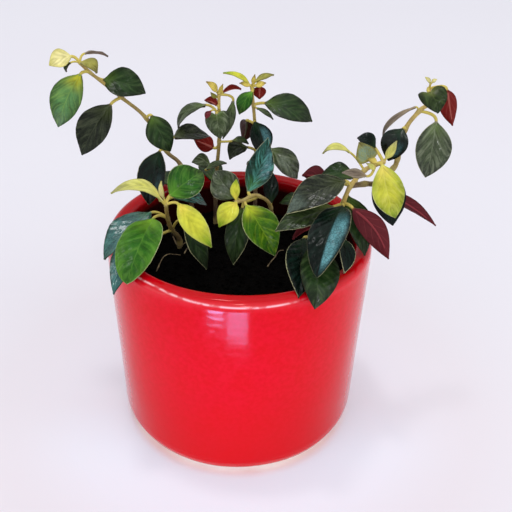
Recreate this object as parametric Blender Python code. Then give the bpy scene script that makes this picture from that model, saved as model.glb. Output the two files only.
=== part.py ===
# Goldfish plant in a glazed pot: a thick turned pot, its soil, and the leafy stems that stand in it.
# Blender units are metres, +Z is up, the origin is the middle of the pot's foot, and -Y is the front.
# The driving dimensions and the stem layout below are in millimetres.

import math

import bmesh
import bpy
from mathutils import Vector

MM = 0.001
GAP = 0.3

# Pot
POT_HEIGHT = 107.5
RIM_RADIUS = 65.0
BASE_RADIUS = 60.0
FOOT_ROUNDING = 12.5
LIP_OUTER_ROUNDING = 4.3
LIP_INNER_ROUNDING = 3.3
LIP_THICKNESS = 8.6
WALL_THICKNESS = 9.0
FLOOR_THICKNESS = 10.0
FLOOR_ROUNDING = 9.0
ROUNDING_STEPS = 4
POT_SIDES = 56
POT_CREASE = 50.0
FRONT_RISE = 3.6
RISE_DIRECTION = -98.0
RISE_POWER = 1.5
RISE_START = 70.0

# Soil
SOIL_LEVEL = 87.0
SOIL_SWELL = 0.8
SWELL_PER_RADIUS = 0.16
SWELL_FOLDS = 3.0
SWELL_TWIST = 0.05
SOIL_EDGE_GAP = 0.9
SOIL_FLAT_EDGE = 2.0
TOP_BAND = 0.5
SOIL_SIDES = 40
SOIL_RINGS = 4
HOLE_SIDES = 10
HOLE_OVERSHOOT = 4.0
SOIL_CREASE = 60.0

# Stems and leaves
STEM_SIDES = 6
STEM_STEP = 9.0
STEM_END = 1.0
TIP_SCALE = 0.62
BRANCH_SCALE = 0.85
PETIOLE_SMALLEST = 0.35
PETIOLE_PER_WIDTH = 0.05
PETIOLE_LARGEST = 0.75
PETIOLE_DEPTH = 1.7
PETIOLE_BEND = 0.45
PETIOLE_STATIONS = (0.0, 0.55)
BLADE_THICKNESS = 0.9
EDGE_THICKNESS = 0.65
BLADE_FOLD = 0.2
BLADE_STATIONS = (0.12, 0.33, 0.56, 0.78, 0.93)
WIDEST_POINT = 0.85
OUTLINE_POWER = 0.9
TIP_NARROWING = 0.4
LEAF_CREASE = 40.0

# Each stem has a radius and a route through its joints, from the bottom of its hole to its tip.
# A leaf is (joint, blade base, blade tip, width, the way its upper face looks, arch).
STEMS = {
    "stem_left_arching": {
        "radius": 1.2,
        "routes": [[(-22, 28, 73.5), (-22, 28, 90), (-26, 28, 110), (-30, 27, 129), (-37, 27, 137),
                    (-46, 26, 155), (-57, 25, 166), (-71, 24, 179), (-75, 23, 184)]],
        "leaves": [
            (2, (-34, 36, 112), (-47, 49, 111), 13, (-1, 1, 3), 2),
            (4, (-40, 24, 138), (-46, 14, 113), 16, (-1, -2, 1), 2),
            (4, (-33, 30, 143), (-16, 40, 139), 12, (0, -1, 3), 2),
            (5, (-43, 24, 157), (-34, 18, 141), 13, (0, -2, 1), 2),
            (6, (-62, 21, 164), (-77, 15, 140), 16, (-1, -3, 1), 2),
            (7, (-65, 27, 174), (-45, 24, 169), 15, (1, -2, 2), 3),
            (7, (-75, 21, 179), (-87, 17, 154), 16, (-1, -3, 1), 2),
            (8, (-74, 21, 185), (-66, 16, 182), 8, (1, -1, 3), 2),
            (8, (-79, 23, 187), (-89, 20, 184), 10, (-1, -2, 2), 1),
            (8, (-73, 27, 187), (-63, 32, 184), 5, (0, 1, 3), 1),
            (8, (-79, 20, 185), (-81, 19, 181), 3, (-1, -1, 1), 1),
        ],
    },
    "stem_back_left": {
        "radius": 1.2,
        "routes": [[(-13, 40, 73.5), (-13, 40, 90), (-13, 39, 107), (-12, 38, 124), (-11, 38, 137),
                    (-11, 37, 152), (-11, 37, 163)]],
        "leaves": [
            (2, (-14, 45, 110), (-18, 66, 110), 13, (0, 1, 3), 2),
            (3, (-16, 40, 123), (-25, 38, 125), 9, (0, -1, 2), 2),
            (3, (-17, 31, 125), (-7, 30, 129), 5, (0, -1, 4), 1),
            (4, (-14, 41, 132), (-24, 44, 135), 9, (1, 2, -1), 1),
            (4, (-4, 35, 139), (4, 34, 138), 5, (0, -1, 4), 1),
            (5, (-12, 36, 158), (-18, 35, 161), 6, (0, 2, 1), 1),
            (5, (-18, 40, 156), (-32, 38, 144), 8, (-1, -1, 3), 4),
            (5, (-15, 28, 158), (-17, 26, 155), 3, (-1, -2, 0), 1),
            (5, (-12, 31, 156), (-10, 27, 145), 12, (0, -2, 1), 2),
            (6, (-12, 36, 165), (-17, 34, 171), 4, (-1, -1, 2), 1),
            (6, (-9, 38, 164), (0, 40, 165), 6, (0, 2, 2), 1),
            (6, (-4, 38, 159), (-9, 33, 141), 6, (1, -2, 1), 1),
        ],
    },
    "stem_back_middle": {
        "radius": 1.2,
        "routes": [[(8, 42, 73.5), (8, 42, 90), (8, 42, 110), (8, 42, 130), (7, 42, 145), (6, 41, 156),
                    (5, 41, 166)]],
        "leaves": [
            (2, (9, 47, 113), (12, 68, 110), 14, (0, 1, 3), 2),
            (3, (15, 42, 131), (30, 40, 115), 13, (1, -2, 2), 3),
            (3, (3, 38, 134), (-6, 34, 129), 11, (-1, -1, 2), 3),
            (4, (7, 40, 147), (12, 32, 131), 12, (1, -2, 1), 2),
            (4, (3, 44, 146), (1, 48, 132), 9, (1, 2, 0), 2),
            (5, (12, 41, 157), (36, 38, 149), 15, (0, -2, 3), 3),
            (5, (8, 39, 155), (16, 37, 150), 3, (0, -1, 2), 1),
            (6, (4, 40, 167), (-9, 38, 174), 4, (-1, -1, 3), 2),
            (6, (7, 42, 168), (16, 46, 170), 4, (0, -1, 3), 1),
            (6, (9, 40, 166), (9, 39, 160), 7, (0, 2, 0), 1),
            (6, (5, 38, 164), (-1, 34, 154), 8, (-1, -2, 1), 2),
        ],
    },
    "stem_middle_low": {
        "radius": 1.2,
        "routes": [[(17, 14, 73.5), (17, 14, 90), (15, 7, 117), (9, 4, 125), (5, 2, 126), (2, 0, 125),
                    (-2, -2, 125)]],
        "leaves": [
            (2, (15, 8, 119), (14, 16, 134), 8, (1, -3, 0), 1),
            (3, (-2, 9, 121), (-13, 18, 131), 15, (-1, -3, 2), 2),
            (4, (4, 3, 128), (13, 14, 151), 13, (0, -3, 0), -2),
            (5, (3, -2, 123), (17, -18, 105), 17, (1, -3, 2), 2),
            (5, (1, -1, 121), (-3, -14, 97), 12, (-1, -3, 1), 2),
            (6, (-2, -1, 126), (-2, 4, 134), 5, (-1, -3, 0), 1),
            (6, (-2, -3, 125), (-10, -12, 117), 10, (-1, -3, 2), 2),
        ],
    },
    "stem_front_left": {
        "radius": 1.4,
        "routes": [[(-31, 18, 73.5), (-31, 18, 90), (-34, 9, 102), (-35, -1, 115), (-35, -7, 126)]],
        "leaves": [
            (2, (-43, -13, 110), (-56, -51, 106), 15, (-1, -2, 3), 4),
            (2, (-27, 2, 110), (-16, -8, 90), 11, (1, -1, 1), 1),
            (3, (-41, -12, 121), (-50, -49, 110), 20, (-1, -3, 3), 3),
            (3, (-43, -3, 119), (-63, -27, 108), 18, (-2, -2, 3), 3),
            (4, (-37, -8, 129), (-60, -12, 135), 8, (-1, -1, 3), 7),
            (4, (-33, -5, 130), (-18, 6, 137), 17, (0, -2, 2), 3),
            (4, (-29, -8, 127), (-13, -22, 112), 12, (1, -2, 3), 2),
            (4, (-32, 2, 125), (-16, 13, 115), 15, (0, -1, 4), 2),
            (4, (-36, -6, 129), (-37, -4, 137), 3, (-1, -2, 0), 1),
        ],
    },
    "stem_right_forked": {
        "radius": 1.5,
        "routes": [[(42, 2, 73.5), (42, 2, 90), (46, -5, 116), (48, -11, 130), (51, -10, 139),
                    (57, -8, 146), (62, -6, 148), (66, -5, 149)],
                   [(51, -10, 139), (58, -6, 138), (64, -3, 137), (72, 2, 142), (74, 4, 146), (77, 9, 159),
                    (83, 12, 167), (87, 14, 170), (87, 15, 177)]],
        "leaves": [
            (3, (43, -14, 130), (16, -26, 124), 13, (-1, -2, 3), 2),
            (3, (47, -17, 132), (34, -51, 116), 18, (-1, -2, 1), 4),
            (3, (52, -17, 131), (69, -29, 111), 11, (0, 3, -2), 2),
            (3, (51, -4, 130), (59, -23, 109), 14, (1, -2, 1), 2),
            (4, (48, -11, 142), (21, -22, 131), 16, (-1, -2, 3), 3),
            (4, (53, 0, 138), (38, 6, 135), 12, (0, -1, 3), 3),
            (4, (42, 8, 133), (30, 13, 132), 10, (0, 2, 0), 1),
            (5, (50, -3, 153), (38, -1, 151), 4, (0, -1, 2), 4),
            (6, (65, -8, 149), (73, -14, 124), 15, (0, -2, 1), 2),
            (6, (66, -3, 145), (73, -9, 117), 16, (0, -2, 1), 2),
            (6, (59, -9, 152), (53, -11, 162), 10, (-1, -2, 2), 2),
            (7, (62, 0, 154), (54, 4, 157), 8, (0, -1, 2), 2),
            (7, (67, -5, 151), (71, -5, 160), 4, (0, -2, 1), 1),
            (10, (68, -3, 132), (95, -3, 114), 7, (1, 2, 0), 2),
            (13, (75, 5, 161), (69, 0, 147), 13, (-1, -2, 1), 3),
            (14, (81, 12, 169), (68, 16, 151), 3, (-1, -1, 1), 6),
            (14, (91, 9, 163), (88, 2, 137), 17, (0, -2, 1), 2),
            (16, (86, 8, 179), (90, 3, 171), 14, (0, -2, 2), 3),
            (16, (95, 14, 177), (100, 14, 159), 9, (-3, 10, 2), 1),
        ],
    },
    "stem_right_short": {
        "radius": 1.1,
        "routes": [[(40, -8, 73.5), (40, -8, 90), (39, -13, 103), (38, -16, 111)]],
        "leaves": [
            (3, (36, -28, 117), (33, -64, 109), 18, (1, -4, 6), 1),
            (3, (30, -20, 116), (26, -58, 110), 16, (1, -4, 6), 1),
            (2, (34, -8, 115), (25, -14, 112), 9, (0, 2, 1), 1),
            (3, (48, -24, 119), (48, -39, 110), 9, (1, -2, 1), 1),
        ],
    },
    "stem_back_short": {
        "radius": 1.1,
        "routes": [[(34, 34, 73.5), (34, 34, 90), (35, 36, 100), (36, 38, 108)]],
        "leaves": [
            (3, (38, 43, 111), (47, 54, 110), 13, (0, 1, 3), 2),
            (2, (37, 32, 101), (40, 22, 96), 9, (1, -1, 3), 2),
            (2, (31, 38, 101), (21, 44, 98), 11, (-1, 0, 3), 2),
        ],
    },
}


def clear_scene():
    for item in list(bpy.data.objects):
        bpy.data.objects.remove(item, do_unlink=True)


def make_material(name, colour, roughness, metallic=0.0):
    material = bpy.data.materials.new(name)
    material.use_nodes = True
    shader = material.node_tree.nodes["Principled BSDF"]
    shader.inputs["Base Color"].default_value = (*colour, 1.0)
    shader.inputs["Roughness"].default_value = roughness
    shader.inputs["Metallic"].default_value = metallic
    material.diffuse_color = (*colour, 1.0)
    return material


def add_object(name, mesh_builder, material, crease):
    mesh = bpy.data.meshes.new(name)
    mesh_builder.normal_update()
    mesh_builder.to_mesh(mesh)
    mesh_builder.free()
    mesh.shade_smooth()
    mesh.set_sharp_from_angle(angle=math.radians(crease))
    mesh.materials.append(material)
    item = bpy.data.objects.new(name, mesh)
    bpy.context.scene.collection.objects.link(item)
    return item


def arc(centre_radius, centre_height, radius, start, end):
    """Points of a rounding in the turned profile, from the start angle to the end angle."""
    points = []
    for step in range(ROUNDING_STEPS + 1):
        angle = math.radians(start + (end - start) * step / ROUNDING_STEPS)
        points.append((centre_radius + radius * math.cos(angle), centre_height + radius * math.sin(angle)))
    return points


def turned_body(profile, sides):
    """A closed body turned round Z from a profile that starts and ends on the axis."""
    builder = bmesh.new()
    rings = []
    for radius, height in profile:
        if radius < 1e-6:
            rings.append([builder.verts.new((0.0, 0.0, height * MM))])
            continue
        ring = []
        for side in range(sides):
            turn = 2.0 * math.pi * side / sides
            ring.append(builder.verts.new((radius * math.cos(turn) * MM, radius * math.sin(turn) * MM,
                                           height * MM)))
        rings.append(ring)
    for lower, upper in zip(rings, rings[1:]):
        for side in range(sides):
            following = (side + 1) % sides
            corners = [lower[side % len(lower)], lower[following % len(lower)],
                       upper[following % len(upper)], upper[side % len(upper)]]
            builder.faces.new(list(dict.fromkeys(corners)))
    bmesh.ops.recalc_face_normals(builder, faces=builder.faces)
    return builder


def wall_lean():
    return math.degrees(math.atan2(RIM_RADIUS - BASE_RADIUS, POT_HEIGHT))


def outer_radius(height):
    """Radius of the plain outer wall, before the foot and the lip are rounded."""
    return BASE_RADIUS + (RIM_RADIUS - BASE_RADIUS) * height / POT_HEIGHT


def inner_radius(height):
    return outer_radius(height) - WALL_THICKNESS


def pot_profile():
    """Half section of the pot, from the middle of its foot round the outside to the middle of its floor."""
    lean = wall_lean()
    foot = arc(outer_radius(FOOT_ROUNDING) - FOOT_ROUNDING, FOOT_ROUNDING, FOOT_ROUNDING, -90, -lean)
    lip_outer_height = POT_HEIGHT - LIP_OUTER_ROUNDING
    lip_outer = arc(outer_radius(lip_outer_height) - LIP_OUTER_ROUNDING, lip_outer_height,
                    LIP_OUTER_ROUNDING, -lean, 90)
    lip_inner_height = POT_HEIGHT - LIP_INNER_ROUNDING
    lip_inner = arc(RIM_RADIUS - LIP_THICKNESS + LIP_INNER_ROUNDING, lip_inner_height,
                    LIP_INNER_ROUNDING, 90, 180)
    under_lip_height = POT_HEIGHT - LIP_THICKNESS
    under_lip = [(inner_radius(under_lip_height), under_lip_height)]
    floor_height = FLOOR_THICKNESS + FLOOR_ROUNDING
    floor = arc(inner_radius(floor_height) - FLOOR_ROUNDING, floor_height, FLOOR_ROUNDING, 0, -90)
    return [(0.0, 0.0)] + foot + lip_outer + lip_inner + under_lip + floor + [(0.0, FLOOR_THICKNESS)]


def front_rise(turn, height):
    """How far the hand-turned rim stands higher towards the front, at a turn in radians and a height."""
    facing = max(0.0, math.cos(turn - math.radians(RISE_DIRECTION)))
    share = (height - RISE_START) / (POT_HEIGHT - LIP_THICKNESS - RISE_START)
    return FRONT_RISE * facing ** RISE_POWER * min(1.0, max(0.0, share))


def make_pot():
    builder = turned_body(pot_profile(), POT_SIDES)
    for vert in builder.verts:
        vert.co.z += front_rise(math.atan2(vert.co.y, vert.co.x), vert.co.z / MM) * MM
    bmesh.ops.triangulate(builder, faces=[face for face in builder.faces if len(face.verts) > 3])
    glaze = make_material("pot_red_glaze", (0.62, 0.012, 0.022), 0.12)
    return add_object("pot", builder, glaze, POT_CREASE)


def soil_height(radius, turn):
    """The soil's top swells a little and sinks towards the wall."""
    swell = math.cos(radius * SWELL_PER_RADIUS) * math.cos(SWELL_FOLDS * turn + radius * SWELL_TWIST)
    return SOIL_LEVEL + SOIL_SWELL * swell


def soil_profile():
    """Half section of the soil below its top, clear of the pot by the gap all round."""
    bottom = FLOOR_THICKNESS + GAP
    corner_height = FLOOR_THICKNESS + FLOOR_ROUNDING
    rounding = FLOOR_ROUNDING - GAP
    corner = arc(inner_radius(corner_height) - FLOOR_ROUNDING, corner_height, rounding, -90, 0)
    return [(0.0, bottom)] + corner


def make_soil():
    """The filling of the pot, with a plain round hole for every stem."""
    top_edge = (inner_radius(SOIL_LEVEL) - SOIL_EDGE_GAP, SOIL_LEVEL)
    builder = turned_body(soil_profile() + [top_edge, (0.0, SOIL_LEVEL)], SOIL_SIDES)
    top_start = (SOIL_LEVEL - TOP_BAND) * MM
    top_faces = [face for face in builder.faces if face.calc_center_median().z > top_start]
    spokes = {edge for face in top_faces for edge in face.edges
              if min(Vector((vert.co.x, vert.co.y)).length for vert in edge.verts) < MM}
    bmesh.ops.subdivide_edges(builder, edges=list(spokes), cuts=SOIL_RINGS)
    for vert in builder.verts:
        reach = Vector((vert.co.x, vert.co.y)).length / MM
        if vert.co.z > top_start and reach < inner_radius(SOIL_LEVEL) - SOIL_FLAT_EDGE:
            vert.co.z = soil_height(reach, math.atan2(vert.co.y, vert.co.x)) * MM
    bmesh.ops.triangulate(builder, faces=[face for face in builder.faces if len(face.verts) > 3])
    earth = make_material("potting_soil", (0.012, 0.008, 0.006), 0.95)
    soil = add_object("soil", builder, earth, SOIL_CREASE)
    cutters = bpy.data.collections.new("stem_holes")
    bpy.context.scene.collection.children.link(cutters)
    for stem in STEMS.values():
        cutters.objects.link(hole_cutter(stem))
    join_collection(soil, cutters, "DIFFERENCE", "EXACT")
    return soil


def hole_cutter(stem):
    """A straight pin a little thicker than the stem, from just under its foot to above the soil."""
    foot = stem["routes"][0][0]
    low = foot[2] - GAP
    high = SOIL_LEVEL + HOLE_OVERSHOOT
    radius = stem["radius"] / math.cos(math.pi / HOLE_SIDES) + GAP
    builder = bmesh.new()
    bmesh.ops.create_cone(builder, cap_ends=True, segments=HOLE_SIDES, radius1=radius * MM,
                          radius2=radius * MM, depth=(high - low) * MM)
    bmesh.ops.translate(builder, verts=builder.verts,
                        vec=Vector((foot[0], foot[1], (low + high) / 2.0)) * MM)
    mesh = bpy.data.meshes.new("hole")
    builder.to_mesh(mesh)
    builder.free()
    cutter = bpy.data.objects.new("hole", mesh)
    cutter.hide_render = True
    cutter.display_type = "WIRE"
    return cutter


def join_collection(target, collection, operation, solver):
    """Apply one Boolean with a whole collection to the target, then drop the collection's objects."""
    modifier = target.modifiers.new(operation.lower(), "BOOLEAN")
    modifier.operand_type = "COLLECTION"
    modifier.collection = collection
    modifier.operation = operation
    modifier.solver = solver
    depsgraph = bpy.context.evaluated_depsgraph_get()
    result = bpy.data.meshes.new_from_object(target.evaluated_get(depsgraph))
    target.modifiers.clear()
    target.data = result
    for item in list(collection.objects):
        bpy.data.objects.remove(item, do_unlink=True)
    bpy.data.collections.remove(collection)


def smooth_route(points):
    """Stepped points of a curve through the joints of a route; its first stretch is straight."""
    corners = [Vector(point) for point in points]
    corners.append(2 * corners[-1] - corners[-2])
    result = [corners[0], corners[1]]
    for index in range(1, len(corners) - 2):
        before, start, end, after = corners[index - 1:index + 3]
        steps = max(1, round((end - start).length / STEM_STEP))
        for step in range(1, steps + 1):
            t = step / steps
            result.append(0.5 * (2 * start + (end - before) * t
                                 + (2 * before - 5 * start + 4 * end - after) * t ** 2
                                 + (3 * start - before - 3 * end + after) * t ** 3))
    return result


def loft(builder, rings):
    """Close a row of equal rings of points into one body, split into triangles alike on every face."""
    verts = [[builder.verts.new(point * MM) for point in ring] for ring in rings]
    count = len(verts[0])
    for lower, upper in zip(verts, verts[1:]):
        for side in range(count):
            following = (side + 1) % count
            builder.faces.new((lower[side], lower[following], upper[following]))
            builder.faces.new((lower[side], upper[following], upper[side]))
    builder.faces.new(verts[0])
    builder.faces.new(verts[-1])
    bmesh.ops.recalc_face_normals(builder, faces=builder.faces)


def stem_tube(points, radius, start_scale):
    """A tapering six-sided tube along a smoothed route."""
    builder = bmesh.new()
    path = smooth_route(points)
    path.append(path[-1] + (path[-1] - path[-2]).normalized() * STEM_END)
    side = Vector((1.0, 0.0, 0.0))
    rings = []
    for index, point in enumerate(path):
        along = path[min(index + 1, len(path) - 1)] - path[max(index - 1, 0)]
        side = (side - side.project(along)).normalized()
        across = along.cross(side).normalized()
        scale = start_scale + (TIP_SCALE - start_scale) * index / (len(path) - 1)
        ring = []
        for corner in range(STEM_SIDES):
            turn = 2.0 * math.pi * corner / STEM_SIDES
            ring.append(point + (side * math.cos(turn) + across * math.sin(turn)) * radius * scale)
        rings.append(ring)
    loft(builder, rings)
    return builder


def half_width(t, width):
    """Half the blade's width at t from base to tip: an ellipse that is widest below its middle."""
    return 0.5 * width * math.sin(math.pi * t ** WIDEST_POINT) ** OUTLINE_POWER


def leaf_ring(centre, along, across, half, middle, edge, fold):
    """Six points of a leaf's cross section: a shallow valley with its midrib lowest."""
    normal = across.cross(along).normalized()
    left = centre - across * half + normal * half * fold
    right = centre + across * half + normal * half * fold
    return [left + normal * edge / 2, centre + normal * middle / 2, right + normal * edge / 2,
            right - normal * edge / 2, centre - normal * middle / 2, left - normal * edge / 2]


def leaf_rings(joint, base, tip, width, facing, arch):
    """Cross sections of a leaf: a petiole that starts inside the stem, and a folded, arched blade."""
    joint, base, tip, facing = Vector(joint), Vector(base), Vector(tip), Vector(facing)
    span = tip - base
    upward = (facing - facing.project(span)).normalized()
    across = span.cross(upward).normalized()
    crown = (base + tip) / 2 + upward * arch * 2
    lead = base - (crown - base).normalized() * (base - joint).length * PETIOLE_BEND
    stalk = min(PETIOLE_LARGEST, PETIOLE_SMALLEST + PETIOLE_PER_WIDTH * width)
    rings = []
    for t in PETIOLE_STATIONS:
        point = joint * (1 - t) ** 2 + lead * 2 * t * (1 - t) + base * t ** 2
        along = ((lead - joint) * (1 - t) + (base - lead) * t).normalized()
        level = (across - across.project(along)).normalized()
        rings.append(leaf_ring(point, along, level, stalk, PETIOLE_DEPTH * stalk, stalk, 0.0))
    for t in (0.0,) + BLADE_STATIONS + (1.0,):
        point = base * (1 - t) ** 2 + crown * 2 * t * (1 - t) + tip * t ** 2
        along = ((crown - base) * (1 - t) + (tip - crown) * t).normalized()
        half = max(half_width(t, width), stalk * (1.0 - TIP_NARROWING * t))
        swell = min(1.0, t / BLADE_STATIONS[0])
        middle = PETIOLE_DEPTH * stalk * (1 - swell) + BLADE_THICKNESS * swell
        edge = stalk * (1 - swell) + EDGE_THICKNESS * swell
        rings.append(leaf_ring(point, along, across, half, middle, edge, BLADE_FOLD * swell))
    return rings


def make_leaf(joints, leaf):
    """One leaf as a closed body; its first value is the number of its joint."""
    builder = bmesh.new()
    loft(builder, leaf_rings(joints[leaf[0]], *leaf[1:]))
    return builder


def make_stem(name, stem, material):
    """One leafy stem: its tube, its branch if it forks, and its leaves, joined in one body."""
    routes = stem["routes"]
    joints = [point for route in routes for point in route]
    body = add_object(name, stem_tube(routes[0], stem["radius"], 1.0), material, LEAF_CREASE)
    parts = bpy.data.collections.new(name + "_parts")
    bpy.context.scene.collection.children.link(parts)
    builders = [stem_tube(route, stem["radius"], BRANCH_SCALE) for route in routes[1:]]
    builders += [make_leaf(joints, leaf) for leaf in stem["leaves"]]
    for builder in builders:
        mesh = bpy.data.meshes.new("piece")
        builder.to_mesh(mesh)
        builder.free()
        mesh.materials.append(material)
        parts.objects.link(bpy.data.objects.new("piece", mesh))
    join_collection(body, parts, "UNION", "MANIFOLD")
    body.data.shade_smooth()
    body.data.set_sharp_from_angle(angle=math.radians(LEAF_CREASE))
    return body


def main():
    clear_scene()
    make_pot()
    make_soil()
    foliage = make_material("dark_green_foliage", (0.02, 0.075, 0.03), 0.35)
    for name, stem in STEMS.items():
        make_stem(name, stem, foliage)


main()
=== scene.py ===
import math
import random

import bpy
import numpy as np
from mathutils import Matrix, Vector, noise


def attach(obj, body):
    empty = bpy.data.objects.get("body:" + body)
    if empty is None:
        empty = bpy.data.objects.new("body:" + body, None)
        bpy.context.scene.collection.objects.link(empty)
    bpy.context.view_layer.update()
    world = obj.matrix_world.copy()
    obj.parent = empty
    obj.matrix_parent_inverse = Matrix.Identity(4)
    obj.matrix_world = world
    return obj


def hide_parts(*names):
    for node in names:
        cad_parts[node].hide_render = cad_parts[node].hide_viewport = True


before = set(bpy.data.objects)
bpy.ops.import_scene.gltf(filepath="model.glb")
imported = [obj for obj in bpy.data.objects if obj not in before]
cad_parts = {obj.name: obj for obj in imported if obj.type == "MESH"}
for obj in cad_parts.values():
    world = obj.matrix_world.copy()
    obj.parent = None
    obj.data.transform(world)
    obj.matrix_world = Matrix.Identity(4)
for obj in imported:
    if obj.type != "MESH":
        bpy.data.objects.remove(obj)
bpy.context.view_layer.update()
print("packed plant loaded")

mm = 0.001                    # every table below is in millimetres


# the photo's view, down over the front of the pot; angles in degrees
cameraView = {
    "place": (0.0, -384.3, 347.5), "down": 33.52, "toRight": 1.22, "roll": 1.31, "lens": 65.0,
    "sensor": 36.0, "nearest": 10.0,
}


def addPiece(name, data):
    piece = bpy.data.objects.new(name, data)
    bpy.context.scene.collection.objects.link(piece)
    return piece


def makeCamera():
    down, yaw, roll = (math.radians(cameraView[key]) for key in ("down", "toRight", "roll"))
    forward = Vector((math.sin(yaw) * math.cos(down), math.cos(yaw) * math.cos(down), -math.sin(down)))
    level = Vector((math.cos(yaw), -math.sin(yaw), 0.0))
    upward = level.cross(forward)
    sideAxis = level * math.cos(roll) + upward * math.sin(roll)
    upAxis = upward * math.cos(roll) - level * math.sin(roll)
    lens = bpy.data.cameras.new("photoView")
    lens.lens = cameraView["lens"]
    lens.sensor_width = cameraView["sensor"]
    lens.clip_start = cameraView["nearest"] * mm
    camera = addPiece("photoView", lens)
    camera.matrix_world = (Matrix.Translation(Vector(cameraView["place"]) * mm)
                           @ Matrix((sideAxis, upAxis, -forward)).transposed().to_4x4())
    bpy.context.scene.camera = camera


makeCamera()
print("camera placed")


def tone(red, green, blue):
    # screen values from 0 to 255, turned into linear light
    def linear(value):
        value /= 255.0
        return value / 12.92 if value <= 0.04045 else ((value + 0.055) / 1.055) ** 2.4
    return (linear(red), linear(green), linear(blue), 1.0)


def fillSockets(tree, node, values):
    # a value is either a number or another node's socket
    for key, value in values.items():
        if isinstance(value, bpy.types.NodeSocket):
            tree.links.new(value, node.inputs[key])
        else:
            node.inputs[key].default_value = value


def addNode(tree, kind, inputs=None, **settings):
    node = tree.nodes.new("ShaderNode" + kind)
    for key, value in settings.items():
        setattr(node, key, value)
    fillSockets(tree, node, inputs or {})
    return node


def calc(tree, operation, *values, clamp=False):
    return addNode(tree, "Math", dict(enumerate(values)), operation=operation, use_clamp=clamp).outputs[0]


def times(tree, first, second, clamp=False):
    return calc(tree, "MULTIPLY", first, second, clamp=clamp)


def timesPlus(tree, value, factor, more, clamp=False):
    return calc(tree, "MULTIPLY_ADD", value, factor, more, clamp=clamp)


def ramped(tree, value, low, high, start=0.0, end=1.0):
    # smooth step of a value from low to high
    node = addNode(tree, "MapRange", {"Value": value, "From Min": low, "From Max": high,
                                      "To Min": start, "To Max": end}, interpolation_type="SMOOTHSTEP")
    return node.outputs["Result"]


def rampedMm(tree, value, span, start=0.0, end=1.0):
    return ramped(tree, value, span[0] * mm, span[1] * mm, start, end)


def blended(tree, factor, first, second, mode="MIX"):
    node = addNode(tree, "Mix", {0: factor, 6: first, 7: second}, data_type="RGBA", blend_type=mode)
    return node.outputs[2]


def layered(tree, colour, *layers):
    # lays more colours over the first; each has a mask, the colour and perhaps how much of it shows
    for mask, upper, *show in layers:
        colour = blended(tree, times(tree, mask, *show) if show else mask, colour, upper)
    return colour


def readAttribute(tree, name):
    return addNode(tree, "Attribute", attribute_name=name).outputs["Fac"]


def objectPlace(tree):
    return addNode(tree, "TexCoord").outputs["Object"]


def splitPlace(tree, place):
    return addNode(tree, "SeparateXYZ", {"Vector": place}).outputs


def newGroup(name, inputs, outputs):
    group = bpy.data.node_groups.new(name, "ShaderNodeTree")
    for label, value in inputs.items():
        socket = group.interface.new_socket(label, in_out="INPUT", socket_type="NodeSocketFloat")
        socket.default_value = value
    for label in outputs:
        group.interface.new_socket(label, in_out="OUTPUT", socket_type="NodeSocketFloat")
    start = group.nodes.new("NodeGroupInput")
    end = group.nodes.new("NodeGroupOutput")
    return group, start.outputs, end


def useGroup(tree, group, **values):
    node = tree.nodes.new("ShaderNodeGroup")
    node.node_tree = group
    fillSockets(tree, node, values)
    return node.outputs


def newMaterial(name, **plain):
    material = bpy.data.materials.new(name)
    material.use_nodes = True
    tree = material.node_tree
    shader = tree.nodes["Principled BSDF"]
    fillSockets(tree, shader, {label.replace("_", " "): value for label, value in plain.items()})
    return material, tree, shader


def addBump(tree, shader, height, depth, strength=1.0):
    bump = addNode(tree, "Bump", {"Height": height, "Distance": depth * mm, "Strength": strength})
    tree.links.new(bump.outputs["Normal"], shader.inputs["Normal"])


patternForm = {"clouds": (0.28, 0.72), "lineWide": 0.12}
veinLines = {"inner": (0.62, 0.95), "start": 0.08, "ribWide": 0.07, "ribTaper": -0.045, "puff": (0.05, 0.5)}


# cloudy patches of a size in millimetres, from 0 to 1
def makeMottleGroup():
    group, given, end = newGroup("mottle", {"Size": 5.0, "Detail": 3.0}, ["Amount"])
    scale = calc(group, "DIVIDE", 1.0 / mm, given["Size"])
    cloud = addNode(group, "TexNoise", {"Vector": objectPlace(group), "Scale": scale,
                                        "Detail": given["Detail"]}).outputs["Fac"]
    fillSockets(group, end, {"Amount": ramped(group, cloud, *patternForm["clouds"])})
    return group


# rounded cells of a size in millimetres: their height, and the line between them
def makePebbleGroup():
    group, given, end = newGroup("pebbles", {"Size": 0.8}, ["Height", "Line"])
    inputs = {"Vector": objectPlace(group), "Scale": calc(group, "DIVIDE", 1.0 / mm, given["Size"])}
    cells, edges = (addNode(group, "TexVoronoi", inputs, feature=feature).outputs["Distance"]
                    for feature in ("SMOOTH_F1", "DISTANCE_TO_EDGE"))
    fillSockets(group, end, {"Height": calc(group, "SUBTRACT", 1.0, cells),
                             "Line": ramped(group, edges, 0.0, patternForm["lineWide"], 1.0, 0.0)})
    return group


# midrib and side veins of a blade, from its own coordinates
def makeVeinGroup():
    group, given, end = newGroup("veins", {"Phase": 0.0, "Across": 0.0, "Along": 0.0, "Fineness": 0.1},
                                 ["Midrib", "Side Veins", "Puff"])
    reach = calc(group, "ABSOLUTE", given["Across"])
    nearest = calc(group, "ABSOLUTE", calc(group, "SUBTRACT", given["Phase"],
                                           calc(group, "ROUND", given["Phase"])))
    line = ramped(group, nearest, 0.0, given["Fineness"], 1.0, 0.0)
    inner = ramped(group, reach, *veinLines["inner"], 1.0, 0.0)
    started = ramped(group, given["Along"], 0.0, veinLines["start"])
    thinning = timesPlus(group, given["Along"], veinLines["ribTaper"], veinLines["ribWide"])
    middle = calc(group, "SUBTRACT", 1.0, calc(group, "DIVIDE", reach, thinning), clamp=True)
    puff = times(group, ramped(group, nearest, *veinLines["puff"]), inner)
    sides = times(group, times(group, line, inner), started)
    fillSockets(group, end, {"Midrib": middle, "Side Veins": sides, "Puff": puff})
    return group


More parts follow.
